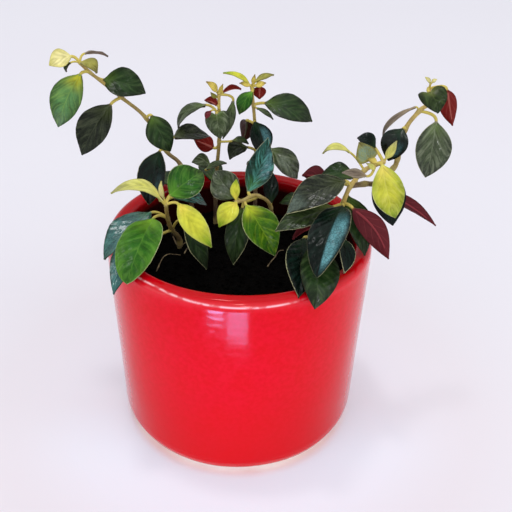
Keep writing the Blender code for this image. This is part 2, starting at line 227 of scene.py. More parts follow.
mottleGroup = makeMottleGroup()
pebbleGroup = makePebbleGroup()
veinGroup = makeVeinGroup()
print("shared node groups built")


def mottled(tree, size, detail):
    return useGroup(tree, mottleGroup, Size=size, Detail=detail)["Amount"]


# each look of a leaf: base, body and tip of the upper face from petiole to point, rim towards its sides,
# veins, underside; then how much the veins show, the brush strokes, roughness, and what else differs:
# puff, how much lighter the blade is painted between the veins as painted shade; the colour of its painted
# sheen, a painted highlight
lookTable = {
    "dark": ((74, 98, 36), (28, 52, 20), (24, 34, 20), (16, 26, 14), (72, 92, 54), (92, 44, 46),
             0.08, 0.42, 0.34),
    "black": ((26, 46, 20), (4, 14, 8), (8, 14, 12), (8, 13, 11), (24, 54, 44), (50, 24, 26),
              0.06, 0.32, 0.3),
    "smoke": ((54, 64, 30), (20, 27, 16), (28, 35, 24), (16, 22, 15), (88, 96, 72), (66, 34, 32),
              0.1, 0.4, 0.3, {"bloom": tone(116, 134, 124)}),
    "teal": ((62, 116, 44), (8, 44, 26), (12, 46, 32), (12, 38, 30), (80, 148, 138), (84, 40, 44),
             0.1, 0.8, 0.3),
    "sea": ((60, 104, 70), (28, 74, 62), (30, 72, 62), (24, 62, 54), (86, 146, 128), (84, 44, 48),
            0.1, 0.4, 0.27),
    "green": ((112, 156, 40), (32, 84, 14), (36, 78, 24), (70, 118, 34), (104, 156, 54), (150, 150, 90),
              0.1, 0.3, 0.36),
    "mossy": ((86, 142, 40), (26, 76, 16), (44, 52, 32), (24, 64, 18), (104, 152, 60), (120, 120, 70),
              0.2, 0.34, 0.36),
    "fresh": ((192, 188, 34), (78, 124, 70), (78, 98, 88), (52, 84, 36), (138, 176, 84), (110, 70, 62),
              0.2, 0.42, 0.32),
    "yellow": ((218, 200, 84), (196, 197, 62), (100, 140, 24), (184, 190, 72), (168, 172, 40),
               (200, 190, 96), 0.06, 0.1, 0.42, {"puff": 0.1}),
    "butter": ((222, 206, 96), (192, 194, 60), (120, 150, 34), (150, 168, 48), (218, 216, 120),
               (200, 190, 96), 0.12, 0.3, 0.42, {"puff": 0.1}),
    "pale": ((206, 200, 104), (190, 190, 92), (140, 138, 92), (196, 194, 112), (222, 218, 150),
             (196, 192, 120), 0.2, 0.2, 0.45),
    "cream": ((224, 216, 150), (216, 208, 148), (200, 194, 110), (214, 206, 124), (190, 186, 96),
              (220, 214, 150), 0.3, 0.2, 0.5),
    "golden": ((224, 208, 124), (206, 188, 88), (96, 70, 42), (190, 166, 76), (220, 200, 110),
               (200, 170, 70), 0.2, 0.3, 0.45),
    "lime": ((188, 196, 50), (42, 86, 7), (22, 74, 18), (54, 100, 16), (136, 168, 36), (170, 176, 90),
             0.2, 0.34, 0.34),
    "olive": ((92, 100, 44), (34, 46, 22), (28, 42, 22), (22, 34, 16), (82, 104, 56), (104, 66, 58),
              0.1, 0.34, 0.36),
    "khaki": ((170, 160, 74), (136, 134, 58), (80, 74, 44), (120, 116, 56), (186, 180, 100), (150, 140, 80),
              0.2, 0.3, 0.42),
    "grey": ((86, 108, 50), (58, 72, 44), (50, 60, 44), (40, 50, 34), (136, 146, 118), (96, 60, 62),
             0.12, 0.45, 0.3, {"bloom": tone(128, 140, 124)}),
    "wine": ((98, 36, 34), (80, 24, 31), (116, 44, 46), (82, 20, 28), (146, 60, 66), (88, 28, 34),
             0.16, 0.34, 0.4),
    "taupe": ((150, 130, 96), (104, 92, 80), (84, 74, 68), (140, 130, 112), (160, 148, 128), (122, 104, 92),
              0.2, 0.4, 0.42),
    "crimson": ((168, 92, 56), (108, 28, 24), (128, 40, 32), (156, 54, 36), (170, 96, 86), (106, 20, 15),
                0.2, 0.4, 0.42),
}


def makeLook(base, body, tip, rim, vein, under, veinShow, strokes, rough, more=None):
    tones = {"base": base, "body": body, "tip": tip, "rim": rim, "vein": vein, "under": under}
    look = {part: tone(*value) for part, value in tones.items()}
    return {**look, "veinShow": veinShow, "strokes": strokes, "rough": rough, **(more or {})}


leafLooks = {name: makeLook(*row) for name, row in lookTable.items()}
leafFinish = {
    "margin": tone(196, 196, 150), "darkEdge": tone(34, 26, 16), "marginWide": 0.3, "marginVary": 0.3,
    "petiole": tone(196, 180, 92), "bloom": tone(94, 148, 154), "veinFine": 0.11, "ribExtra": 0.16,
    "bodyFrom": (0.0, 0.36), "tipFrom": (0.55, 1.0), "rimFrom": (0.35, 1.0), "rimShow": 0.8,
    "strokeAlong": 1.7, "strokeAcross": 1.3, "strokeVary": 45.0, "strokeLight": (0.46, 0.68),
    "strokeDeep": (0.3, 0.52), "deepShare": 0.9, "cloudShade": 0.3, "shadeBase": 0.86, "puff": 0.22,
    "puffBase": 0.08, "speckShow": 0.08, "bloomGaps": -0.55, "bloomBase": 0.95, "edgeFade": (0.45, 1.15),
    "petioleFade": (-0.12, 0.03), "coatRough": 0.14, "underGloss": 0.4, "specular": 0.08,
    "speckRough": 0.16, "underRough": 0.14, "underClouds": 0.35, "underVeins": 0.25, "underRib": 0.55,
    "skinRelief": 0.35, "veinRelief": 0.5, "bump": 0.12, "bumpStrength": 0.55,
}


def makeLeafMaterial(name):
    look, finish = leafLooks[name], leafFinish
    material, tree, shader = newMaterial("leaf_" + name, IOR=1.45, Specular_IOR_Level=finish["specular"],
                                         Coat_Roughness=finish["coatRough"])
    along, across, rim, upper, bloom, margin, gloss, phase = (
        readAttribute(tree, label) for label in ("bladeAlong", "bladeAcross", "bladeRim", "bladeUpper",
                                                 "bladeBloom", "bladeMargin", "bladeGloss", "veinPhase"))
    veins = useGroup(tree, veinGroup, Phase=phase, Across=across, Along=along, Fineness=finish["veinFine"])
    clouds = mottled(tree, 4.5, 3.0)
    specks = mottled(tree, 0.9, 2.0)
    skin = useGroup(tree, pebbleGroup, Size=0.55)
    reach = calc(tree, "ABSOLUTE", across)

    # brush strokes that run the way the side veins do: streaks of leaf colour, partly painted highlight where
    # light and painted shade where deep
    strokePlace = addNode(tree, "CombineXYZ", {"X": times(tree, phase, finish["strokeAlong"]),
                                               "Y": times(tree, across, finish["strokeAcross"])}).outputs[0]
    spot = splitPlace(tree, objectPlace(tree))["X"]
    strokes = addNode(tree, "TexNoise", {"Vector": strokePlace, "W": times(tree, spot, finish["strokeVary"]),
                                         "Scale": 1.0, "Detail": 3.0, "Roughness": 0.6},
                      noise_dimensions="4D").outputs["Fac"]
    light = ramped(tree, strokes, *finish["strokeLight"])
    deep = ramped(tree, strokes, *finish["strokeDeep"], 1.0, 0.0)

    # upper face: petiole end to point, then the sides, strokes, veins and the painted sheen, a pale painted
    # highlight
    colour = layered(tree, look["base"], (ramped(tree, along, *finish["bodyFrom"]), look["body"]),
                     (ramped(tree, along, *finish["tipFrom"]), look["tip"]),
                     (ramped(tree, reach, *finish["rimFrom"], 0.0, finish["rimShow"]), look["rim"]))
    shade = timesPlus(tree, clouds, finish["cloudShade"], finish["shadeBase"])
    shade = calc(tree, "SUBTRACT", shade, times(tree, deep, look["strokes"] * finish["deepShare"]))
    shade = calc(tree, "SUBTRACT", shade, times(tree, gloss, finish["underGloss"]))
    # painted shade of the quilting: lighter on the puffs between the veins, darker along the sunk veins
    shade = timesPlus(tree, veins["Puff"], look.get("puff", finish["puff"]),
                      calc(tree, "SUBTRACT", shade, finish["puffBase"]))
    grey = addNode(tree, "CombineColor", {0: shade, 1: shade, 2: shade}).outputs[0]
    colour = layered(tree, blended(tree, 1.0, colour, grey, "MULTIPLY"),
                     (light, look["vein"], look["strokes"]), (specks, look["vein"], finish["speckShow"]),
                     (veins["Side Veins"], look["vein"], look["veinShow"]),
                     (veins["Midrib"], look["vein"], look["veinShow"] + finish["ribExtra"]))
    # painted sheen: pebbly patches of the upper face painted pale and bluish as a highlight
    coarse = useGroup(tree, pebbleGroup, Size=1.5)
    paintedSheenShow = times(tree, bloom, timesPlus(tree, coarse["Line"], finish["bloomGaps"], finish["bloomBase"]))
    paintedSheenShow = times(tree, paintedSheenShow, timesPlus(tree, clouds, 0.5, 0.6), clamp=True)
    colour = blended(tree, paintedSheenShow, colour, look.get("bloom", finish["bloom"]))

    # the underside, with paler veins
    below = layered(tree, look["under"], (clouds, look["body"], finish["underClouds"]),
                    (veins["Side Veins"], look["vein"], finish["underVeins"]),
                    (veins["Midrib"], look["vein"], finish["underRib"]))

    # thin margin: pale where its value is above nought, dark where it is below
    wander = timesPlus(tree, specks, finish["marginVary"], finish["marginWide"] - finish["marginVary"] / 2)
    edge = ramped(tree, calc(tree, "DIVIDE", rim, wander), *finish["edgeFade"], 1.0, 0.0)
    colour = layered(tree, blended(tree, upper, below, colour),
                     (times(tree, edge, margin, clamp=True), finish["margin"]),
                     (times(tree, edge, times(tree, margin, -1.0), clamp=True), finish["darkEdge"]),
                     (ramped(tree, along, *finish["petioleFade"], 1.0, 0.0), finish["petiole"]))

    rough = timesPlus(tree, specks, finish["speckRough"], look["rough"] - 0.06)
    rough = calc(tree, "ADD", rough, timesPlus(tree, upper, -finish["underRough"], finish["underRough"]))
    fillSockets(tree, shader, {"Base Color": colour, "Coat Weight": gloss, "Roughness": rough})
    relief = timesPlus(tree, skin["Height"], finish["skinRelief"],
                       times(tree, veins["Puff"], finish["veinRelief"]))
    relief = calc(tree, "SUBTRACT", relief, times(tree, veins["Side Veins"], finish["veinRelief"]))
    addBump(tree, shader, relief, finish["bump"], finish["bumpStrength"])
    return material


leafMaterials = {name: makeLeafMaterial(name) for name in leafLooks}
leafOrder = list(leafLooks)


barkFinish = {
    "low": tone(66, 44, 34), "high": tone(158, 138, 56), "young": tone(214, 186, 96),
    "streak": tone(92, 62, 44), "node": tone(170, 156, 84), "hair": tone(226, 206, 184),
    "hairDull": tone(206, 190, 150), "highFrom": (0.1, 0.65), "youngFrom": (0.6, 1.0), "streakShow": 0.4,
    "nodeShow": 0.6, "dustShow": 0.12, "rough": 0.42, "roughVary": 0.25,
}


def makeBarkMaterial():
    finish = barkFinish
    material, tree, shader = newMaterial("stem_bark", IOR=1.42)
    age = readAttribute(tree, "stemAge")
    clouds = mottled(tree, 3.5, 4.0)
    fine = mottled(tree, 0.6, 3.0)
    colour = layered(tree, finish["low"], (ramped(tree, age, *finish["highFrom"]), finish["high"]),
                     (ramped(tree, age, *finish["youngFrom"]), finish["young"]),
                     (clouds, finish["streak"], finish["streakShow"]),
                     (readAttribute(tree, "stemNode"), finish["node"], finish["nodeShow"]),
                     (fine, finish["hair"], finish["dustShow"]))
    rough = timesPlus(tree, fine, finish["roughVary"], finish["rough"])
    fillSockets(tree, shader, {"Base Color": colour, "Roughness": rough})
    addBump(tree, shader, fine, 0.12)
    return material


def makeHairMaterial():
    material, tree, shader = newMaterial("stem_hairs", Roughness=0.6)
    colour = blended(tree, mottled(tree, 2.0, 1.0), barkFinish["hair"], barkFinish["hairDull"])
    fillSockets(tree, shader, {"Base Color": colour})
    return material


barkMaterial = makeBarkMaterial()
hairMaterial = makeHairMaterial()
print("foliage materials built")


# each stem: radius, age at its foot and top (0 brown bark, 1 young), routes through its joints, and leaves as
# (joint, blade base, blade tip, width, the way its upper face looks, arch, look, what else differs):
# edges: margin of the right and the left side, above nought pale, below dark; gloss: coat of the upper face;
# painted sheen, a pale painted highlight: from and to across (-1 to 1), from and to along (0 to 1), amount;
# outline, widest: as in leafForm; heart: how far its lobes reach back; sway: sideways bend by a share of its
# length
stemLayout = {
    "stem_left_arching": {"radius": 1.2, "ages": (0.05, 0.75), "routes": [
        [(-22, 28, 73.5), (-22, 28, 90), (-26, 28, 110), (-30, 27, 129), (-37, 27, 137), (-46, 26, 155),
         (-57, 25, 166), (-71, 24, 179), (-75, 23, 184)],
    ], "leaves": [
        (2, (-34, 36, 112), (-47, 49, 111), 13, (-1, 1, 3), 2, "dark"),
        (4, (-40, 24, 138), (-46, 14, 113), 16, (-1, -2, 1), 2, "black",
         {"edges": (0.5, 0.1), "bloom": (-0.9, -0.3, 0.3, 0.8, 0.15), "gloss": 0.15}),
        (4, (-33, 30, 143), (-16, 40, 139), 12, (0, -1, 3), 2, "smoke"),
        (5, (-43, 24, 157), (-34, 18, 141), 13, (0, -2, 1), 2, "dark"),
        (6, (-62, 21, 164), (-77, 15, 140), 16, (-1, -3, 1), 2, "smoke", {"gloss": 0.12}),
        (7, (-65, 27, 174), (-45, 24, 169), 15, (1, -2, 2), 3, "dark"),
        (7, (-75, 21, 179), (-87, 17, 154), 16, (-1, -3, 1), 2, "fresh", {"gloss": 0.2}),
        (8, (-74, 21, 185), (-66, 16, 182), 8, (1, -1, 3), 2, "khaki"),
        (8, (-79, 23, 187), (-89, 20, 184), 10, (-1, -2, 2), 1, "cream"),
        (8, (-73, 27, 187), (-63, 32, 184), 5, (0, 1, 3), 1, "taupe"),
        (8, (-79, 20, 185), (-81, 19, 181), 3, (-1, -1, 1), 1, "olive"),
    ]},
    "stem_back_left": {"radius": 1.2, "ages": (-0.1, 1.0), "routes": [
        [(-13, 40, 73.5), (-13, 40, 90), (-13, 39, 107), (-12, 38, 124), (-11, 38, 137), (-11, 37, 152),
         (-11, 37, 163)],
    ], "leaves": [
        (2, (-14, 45, 110), (-18, 66, 110), 13, (0, 1, 3), 2, "dark"),
        (3, (-16, 40, 123), (-25, 38, 125), 9, (0, -1, 2), 2, "grey"),
        (3, (-17, 31, 125), (-7, 30, 129), 5, (0, -1, 4), 1, "grey"),
        (4, (-14, 41, 132), (-24, 44, 135), 9, (1, 2, -1), 1, "crimson"),
        (4, (-4, 35, 139), (4, 34, 138), 5, (0, -1, 4), 1, "olive"),
        (5, (-12, 36, 158), (-18, 35, 161), 6, (0, 2, 1), 1, "crimson"),
        (5, (-18, 40, 156), (-32, 38, 144), 8, (-1, -1, 3), 4, "grey"),
        (5, (-15, 28, 158), (-17, 26, 155), 3, (-1, -2, 0), 1, "wine"),
        (5, (-12, 31, 155), (-10, 27, 144), 12, (0, -2, 1), 2, "grey",
         {"heart": 4.6, "widest": 0.62, "outline": 1.0}),
        (6, (-12, 36, 165), (-17, 34, 171), 4, (-1, -1, 2), 1, "golden"),
        (6, (-9, 38, 164), (0, 40, 165), 6, (0, 2, 2), 1, "crimson"),
        (6, (-4, 38, 159), (-9, 33, 141), 6, (1, -2, 1), 1, "grey"),
        (6, (-11, 36, 164), (-9, 36, 169), 2.2, (0, -3, 1), 0.5, "golden"),
        (6, (-12, 36, 162), (-15, 35, 165), 2.4, (-1, -3, 1), 0.5, "khaki"),
    ]},
    "stem_back_middle": {"radius": 1.2, "ages": (-0.1, 1.0), "routes": [
        [(8, 42, 73.5), (8, 42, 90), (8, 42, 110), (8, 42, 130), (7, 42, 145), (6, 41, 156), (5, 41, 166)],
    ], "leaves": [
        (2, (9, 47, 113), (12, 68, 110), 14, (0, 1, 3), 2, "dark"),
        (3, (15, 42, 131), (30, 40, 115), 13, (1, -2, 2), 3, "grey",
         {"bloom": (-0.5, 0.6, 0.15, 0.7, 0.6), "gloss": 0.4}),
        (3, (3, 38, 134), (-6, 34, 129), 11, (-1, -1, 2), 3, "smoke"),
        (4, (7, 40, 147), (12, 32, 131), 12, (1, -2, 1), 2, "black",
         {"bloom": (-0.95, -0.15, 0.1, 0.9, 0.75), "gloss": 0.08}),
        (4, (3, 44, 146), (1, 48, 132), 9, (1, 2, 0), 2, "smoke"),
        (5, (12, 41, 157), (36, 38, 149), 15, (0, -2, 3), 3, "dark", {"gloss": 0.25}),
        (5, (8, 39, 155), (16, 37, 150), 3, (0, -1, 2), 1, "grey"),
        (6, (4, 40, 167), (-9, 38, 174), 4, (-1, -1, 3), 2, "yellow"),
        (6, (7, 42, 168), (16, 46, 170), 4, (0, -1, 3), 1, "khaki"),
        (6, (9, 40, 166), (9, 39, 160), 7, (0, 2, 0), 1, "crimson"),
        (6, (5, 38, 164), (-1, 34, 154), 8, (-1, -2, 1), 2, "mossy"),
        (6, (5.5, 40, 168), (6.5, 39, 173), 2.2, (0, -3, 1), 0.5, "golden"),
        (6, (4, 39, 167), (-1, 37, 169), 3.0, (-1, -2, 2), 0.5, "golden"),
        (6, (7, 39, 167), (12, 38, 169), 3.2, (1, -2, 2), 0.5, "golden"),
    ]},
    "stem_middle_low": {"radius": 1.2, "ages": (0.1, 0.75), "routes": [
        [(17, 14, 73.5), (17, 14, 90), (15, 7, 117), (9, 4, 125), (5, 2, 126), (2, 0, 125), (-2, -2, 125)],
    ], "leaves": [
        (2, (15, 8, 119), (14, 16, 134), 8, (1, -3, 0), 1, "black"),
        (3, (-2, 9, 121), (-13, 18, 131), 15, (-1, -3, 2), 2, "grey",
         {"bloom": (-0.6, 0.5, 0.1, 0.6, 0.4), "edges": (0.3, 0.3), "gloss": 0.3}),
        (4, (4, 3, 128), (13, 14, 151), 13, (0, -3, 0), -2, "teal",
         {"bloom": (0.0, 0.85, 0.2, 0.9, 0.6), "edges": (0.4, 0.3), "sway": 0.05, "gloss": 0.2}),
        (5, (3, -2, 123), (17, -18, 105), 17, (1, -3, 2), 2, "lime", {"edges": (0.6, 0.3)}),
        (5, (1, -1, 121), (-3, -14, 97), 12, (-1, -3, 1), 2, "dark", {"edges": (0.1, 0.8)}),
        (6, (-2, -1, 126), (-2, 4, 134), 5, (-1, -3, 0), 1, "yellow"),
        (6, (-2, -3, 125), (-10, -12, 117), 10, (-1, -3, 2), 2, "yellow"),
    ]},
    "stem_front_left": {"radius": 1.4, "ages": (0.1, 0.75), "routes": [
        [(-31, 18, 73.5), (-31, 18, 90), (-34, 9, 102), (-35, -1, 115), (-35, -7, 126)],
    ], "leaves": [
        (2, (-43, -13, 110), (-56, -51, 106), 15, (-1, -2, 3), 4, "sea",
         {"bloom": (-0.9, 0.9, 0.3, 1.2, 0.4), "gloss": 0.3}),
        (2, (-27, 2, 110), (-16, -8, 90), 11, (1, -1, 1), 1, "dark", {"edges": (0.9, 0.1)}),
        (3, (-41, -12, 121), (-50, -49, 110), 20, (-1, -3, 3), 3, "green",
         {"widest": 0.98, "outline": 0.56, "edges": (0.2, 0.7), "gloss": 0.05}),
        (3, (-43, -3, 119), (-63, -27, 108), 18, (-2, -2, 3), 3, "sea",
         {"bloom": (-0.9, 0.9, 0.05, 1.0, 0.3), "gloss": 0.7}),
        (4, (-37, -8, 129), (-60, -12, 135), 8, (-1, -1, 3), 7, "pale"),
        (4, (-33, -5, 130), (-18, 6, 137), 17, (0, -2, 2), 3, "mossy",
         {"outline": 0.8, "edges": (0.4, 0.4)}),
        (4, (-29, -8, 127), (-13, -22, 112), 12, (1, -2, 3), 2, "yellow",
         {"sway": 0.05, "edges": (0.2, 0.5)}),
        (4, (-32, 2, 125), (-16, 13, 115), 15, (0, -1, 4), 2, "teal"),
        (4, (-36, -6, 129), (-37, -4, 137), 3, (-1, -2, 0), 1, "cream"),
    ]},
    "stem_right_forked": {"radius": 1.5, "ages": (0.25, 1.0), "routes": [
        [(42, 2, 73.5), (42, 2, 90), (46, -5, 116), (48, -11, 130), (51, -10, 139), (57, -8, 146),
         (62, -6, 148), (66, -5, 149)],
        [(51, -10, 139), (58, -6, 138), (64, -3, 137), (72, 2, 142), (74, 4, 146), (77, 9, 159),
         (83, 12, 167), (87, 14, 170), (87, 15, 177)],
    ], "leaves": [
        (3, (43, -14, 130), (16, -26, 124), 13, (-1, -2, 3), 2, "olive",
         {"edges": (0.7, 0.5), "gloss": 0.2}),
        (3, (47, -17, 132), (34, -51, 116), 18, (-1, -2, 1), 4, "black",
         {"bloom": (-0.98, -0.02, 0.1, 1.0, 1.0), "edges": (0.15, 0.3), "outline": 0.64, "gloss": 0.07}),
        (3, (52, -17, 131), (69, -29, 111), 12, (0, 3, -2), 2, "wine", {"sway": 0.1}),
        (3, (51, -4, 130), (59, -23, 109), 14, (1, -2, 1), 2, "dark"),
        (4, (48, -11, 142), (21, -22, 131), 16, (-1, -2, 3), 3, "smoke",
         {"bloom": (-0.8, 0.9, 0.6, 1.3, 0.5), "edges": (0.4, 0.7), "gloss": 0.26}),
        (4, (53, 0, 138), (38, 6, 135), 12, (0, -1, 3), 3, "dark"),
        (4, (42, 8, 133), (30, 13, 132), 10, (0, 2, 0), 1, "wine"),
        (5, (50, -3, 153), (38, -1, 151), 4, (0, -1, 2), 4, "pale"),
        (6, (65, -8, 149), (73, -14, 124), 15, (0, -2, 1), 2, "butter",
         {"edges": (0.7, 0.2), "sway": 0.04}),
        (6, (66, -3, 145), (73, -9, 117), 16, (0, -2, 1), 2, "black"),
        (6, (59, -9, 152), (53, -11, 162), 10, (-1, -2, 2), 2, "khaki",
         {"bloom": (-0.9, 0.9, 0.1, 0.9, 0.5)}),
        (7, (62, 0, 154), (54, 4, 157), 8, (0, -1, 2), 2, "black"),
        (7, (67, -5, 151), (71, -5, 160), 4, (0, -2, 1), 1, "pale"),
        (10, (68, -3, 132), (95, -3, 114), 7, (1, 2, 0), 2, "wine"),
        (13, (75, 5, 161), (69, 0, 147), 13, (-1, -2, 1), 3, "black",
         {"bloom": (-0.9, -0.2, 0.3, 0.9, 0.25), "gloss": 0.3}),
        (14, (81, 12, 169), (68, 16, 151), 3, (-1, -1, 1), 6, "taupe"),
        (14, (91, 9, 163), (88, 2, 137), 17, (0, -2, 1), 2, "grey", {"edges": (0.5, 0.3), "gloss": 0.4}),
        (16, (86, 8, 178), (90, 3, 170), 13, (0, -2, 2), 3, "olive",
         {"heart": 4.8, "widest": 0.6, "outline": 1.0}),
        (16, (95, 14, 177), (100, 14, 159), 9, (-3, 10, 2), 1, "crimson"),
        (16, (86.5, 13, 181), (84, 13, 183.5), 2.0, (0, -2, 2), 0.5, "cream"),
        (16, (87.5, 13, 181), (89.5, 13, 182.5), 1.8, (0, -2, 2), 0.5, "cream"),
        (7, (62, -9, 151), (57, -11, 154), 3.0, (-1, -2, 2), 0.5, "golden"),
        (6, (61, -10, 148), (57, -12, 152), 2.6, (-1, -2, 2), 0.5, "pale"),
        (6, (57, -13, 146), (46, -14, 148), 5.0, (0, -2, 3), 1, "taupe"),
    ]},
    "stem_right_short": {"radius": 1.1, "ages": (0.3, 0.6), "routes": [
        [(40, -8, 73.5), (40, -8, 90), (39, -13, 103), (38, -16, 111)],
    ], "leaves": [
        (3, (36, -28, 117), (33, -64, 109), 18, (1, -4, 6), 1, "dark",
         {"gloss": 0.2, "outline": 0.74, "widest": 0.92}),
        (3, (30, -20, 116), (26, -58, 110), 16, (1, -4, 6), 1, "black",
         {"edges": (0.6, 0.1), "gloss": 0.04}),
        (2, (34, -8, 115), (25, -14, 112), 9, (0, 2, 1), 1, "wine"),
        (3, (48, -24, 119), (48, -39, 110), 9, (1, -2, 1), 1, "black", {"edges": (0.7, 0.7)}),
    ]},
    "stem_back_short": {"radius": 1.1, "ages": (0.3, 0.6), "routes": [
        [(34, 34, 73.5), (34, 34, 90), (35, 36, 100), (36, 38, 108)],
    ], "leaves": [
        (3, (38, 43, 111), (47, 54, 110), 13, (0, 1, 3), 2, "dark"),
        (2, (37, 32, 101), (40, 22, 96), 9, (1, -1, 3), 2, "dark"),
        (2, (31, 38, 101), (21, 44, 98), 11, (-1, 0, 3), 2, "dark"),
    ]},
}


# lengths in millimetres; a pair is a span, along the blade from petiole (0) to point (1), or sideways
# from midrib (0) to margin (1)
leafForm = {
    "widest": 0.85, "outline": 0.9, "fold": 0.2, "foldPower": 1.25, "thick": 0.78, "thickPower": 2.2,
    "edgeThick": 0.28, "lift": 0.42, "petioleLeast": 0.35, "petiolePerWidth": 0.05, "petioleMost": 0.75,
    "petioleBend": 0.45, "petioleSides": 10, "petioleRows": 10, "ribRows": 12, "ribFrom": 0.05,
    "ribTo": 0.82, "puff": 0.1, "groove": 0.07, "midribGroove": 0.3, "sweep": 1.9, "veinGap": 5.4,
    "veinShift": 0.35, "veinWide": 0.1, "ripple": 0.1, "wave": 0.016, "gloss": 0.09,
    "edges": (-0.35, -0.35), "pointGap": 0.75, "rows": (12, 46), "rowPower": 0.95, "fullWidth": 14.0,
    "lean": 0.05, "sway": 0.02, "curl": (0.2, 1.2), "curlFrom": 0.6, "edgeDip": 0.12, "lobeReach": 0.62,
    "noRim": 9.0, "stalkThins": 0.55, "fullAt": 0.13, "veinSides": (0.7, 0.97), "veinStart": (0.02, 0.12),
    "veinEnd": (0.88, 1.0), "waveSides": (0.3, 1.0), "waveStart": (0.05, 0.25), "waveEnd": (0.85, 1.0),
    "rippleSides": (0.05, 0.4), "dipSides": (0.86, 1.0),
}
surfaceNames = ("bladeAlong", "bladeAcross", "bladeRim", "bladeUpper", "veinPhase", "bladeBloom",
                "bladeMargin", "bladeGloss", "stemAge", "stemNode")


def newStore():
    return {"verts": [], "faces": [], "slots": [], "count": 0, "values": {name: [] for name in surfaceNames}}


def gridFaces(number, closedAcross):
    # number: the numbers of the points, rows x columns
    following = np.roll(number, -1, axis=1) if closedAcross else number[:, 1:]
    leading = number if closedAcross else number[:, :-1]
    return np.stack([leading[:-1], following[:-1], following[1:], leading[1:]], axis=-1).reshape(-1, 4)


def putQuads(store, quads, slotNumber, flip=False):
    quads = quads[:, ::-1] if flip else quads
    store["faces"].append(quads)
    store["slots"].append(np.full(len(quads), slotNumber))


def putGrid(store, points, values, slotNumber, closedAcross=False, flip=False):
    # points: rows x columns x 3; values: one number or one array of rows x columns for each name
    rows, columns = points.shape[:2]
    number = store["count"] + np.arange(rows * columns).reshape(rows, columns)
    store["verts"].append(points.reshape(-1, 3))
    store["count"] += rows * columns
    for name in surfaceNames:
        value = np.broadcast_to(np.asarray(values.get(name, 0.0), float), (rows, columns))
        store["values"][name].append(value.reshape(-1))
    putQuads(store, gridFaces(number, closedAcross), slotNumber, flip)
    return number


def putTube(store, rings, values=None, slotNumber=0):
    putGrid(store, np.array(rings), values or {}, slotNumber, closedAcross=True)


def addValues(mesh, label, values):
    # one number for each point of a mesh
    layer = mesh.attributes.new(label, "FLOAT", "POINT")
    layer.data.foreach_set("value", np.asarray(values, np.float32).reshape(-1))


def finishStore(store, name, materials, sharpAngle=50.0):
    verts = np.vstack(store["verts"]) * mm
    faces = np.vstack(store["faces"])
    mesh = bpy.data.meshes.new(name)
    mesh.from_pydata(verts.tolist(), [], [list(dict.fromkeys(face)) for face in faces.tolist()])
    mesh.polygons.foreach_set("material_index", np.concatenate(store["slots"]).astype(np.int32))
    for material in materials:
        mesh.materials.append(material)
    for label in surfaceNames:
        addValues(mesh, label, np.concatenate(store["values"][label]))
    mesh.shade_smooth()
    mesh.set_sharp_from_angle(angle=math.radians(sharpAngle))
    return addPiece(name, mesh)


def shareOf(value, low, high):
    # how far a number is from low to high, from 0 to 1
    return min(1.0, max(0.0, (value - low) / (high - low)))


def smoothStep(value, low, high):
    share = np.clip((value - low) / (high - low), 0.0, 1.0)
    return share * share * (3.0 - 2.0 * share)


def unit(vectors):
    vectors = np.asarray(vectors, float)
    return vectors / np.linalg.norm(vectors, axis=-1, keepdims=True)


def curvePoint(start, middle, end, t):
    t = np.asarray(t, float)[:, None]
    return start * (1 - t) ** 2 + middle * 2 * t * (1 - t) + end * t ** 2


def curveAlong(start, middle, end, t):
    t = np.asarray(t, float)[:, None]
    return unit((middle - start) * (1 - t) + (end - middle) * t)


def circleTurns(sides):
    return np.linspace(0.0, 2.0 * np.pi, sides, endpoint=False)


def columnPlaces(width):
    # closer together at the midrib and the margin
    inner, first, last, margin = [0.0, 0.035, 0.08, 0.14], 0.22, 0.9, [0.955, 0.985, 1.0]
    count = max(4, int(width / 2 / leafForm["pointGap"]))
    middle = [first + (last - first) * step / count for step in range(count + 1)]
    side = np.array(inner + middle + margin)
    return np.concatenate([-side[:0:-1], side])


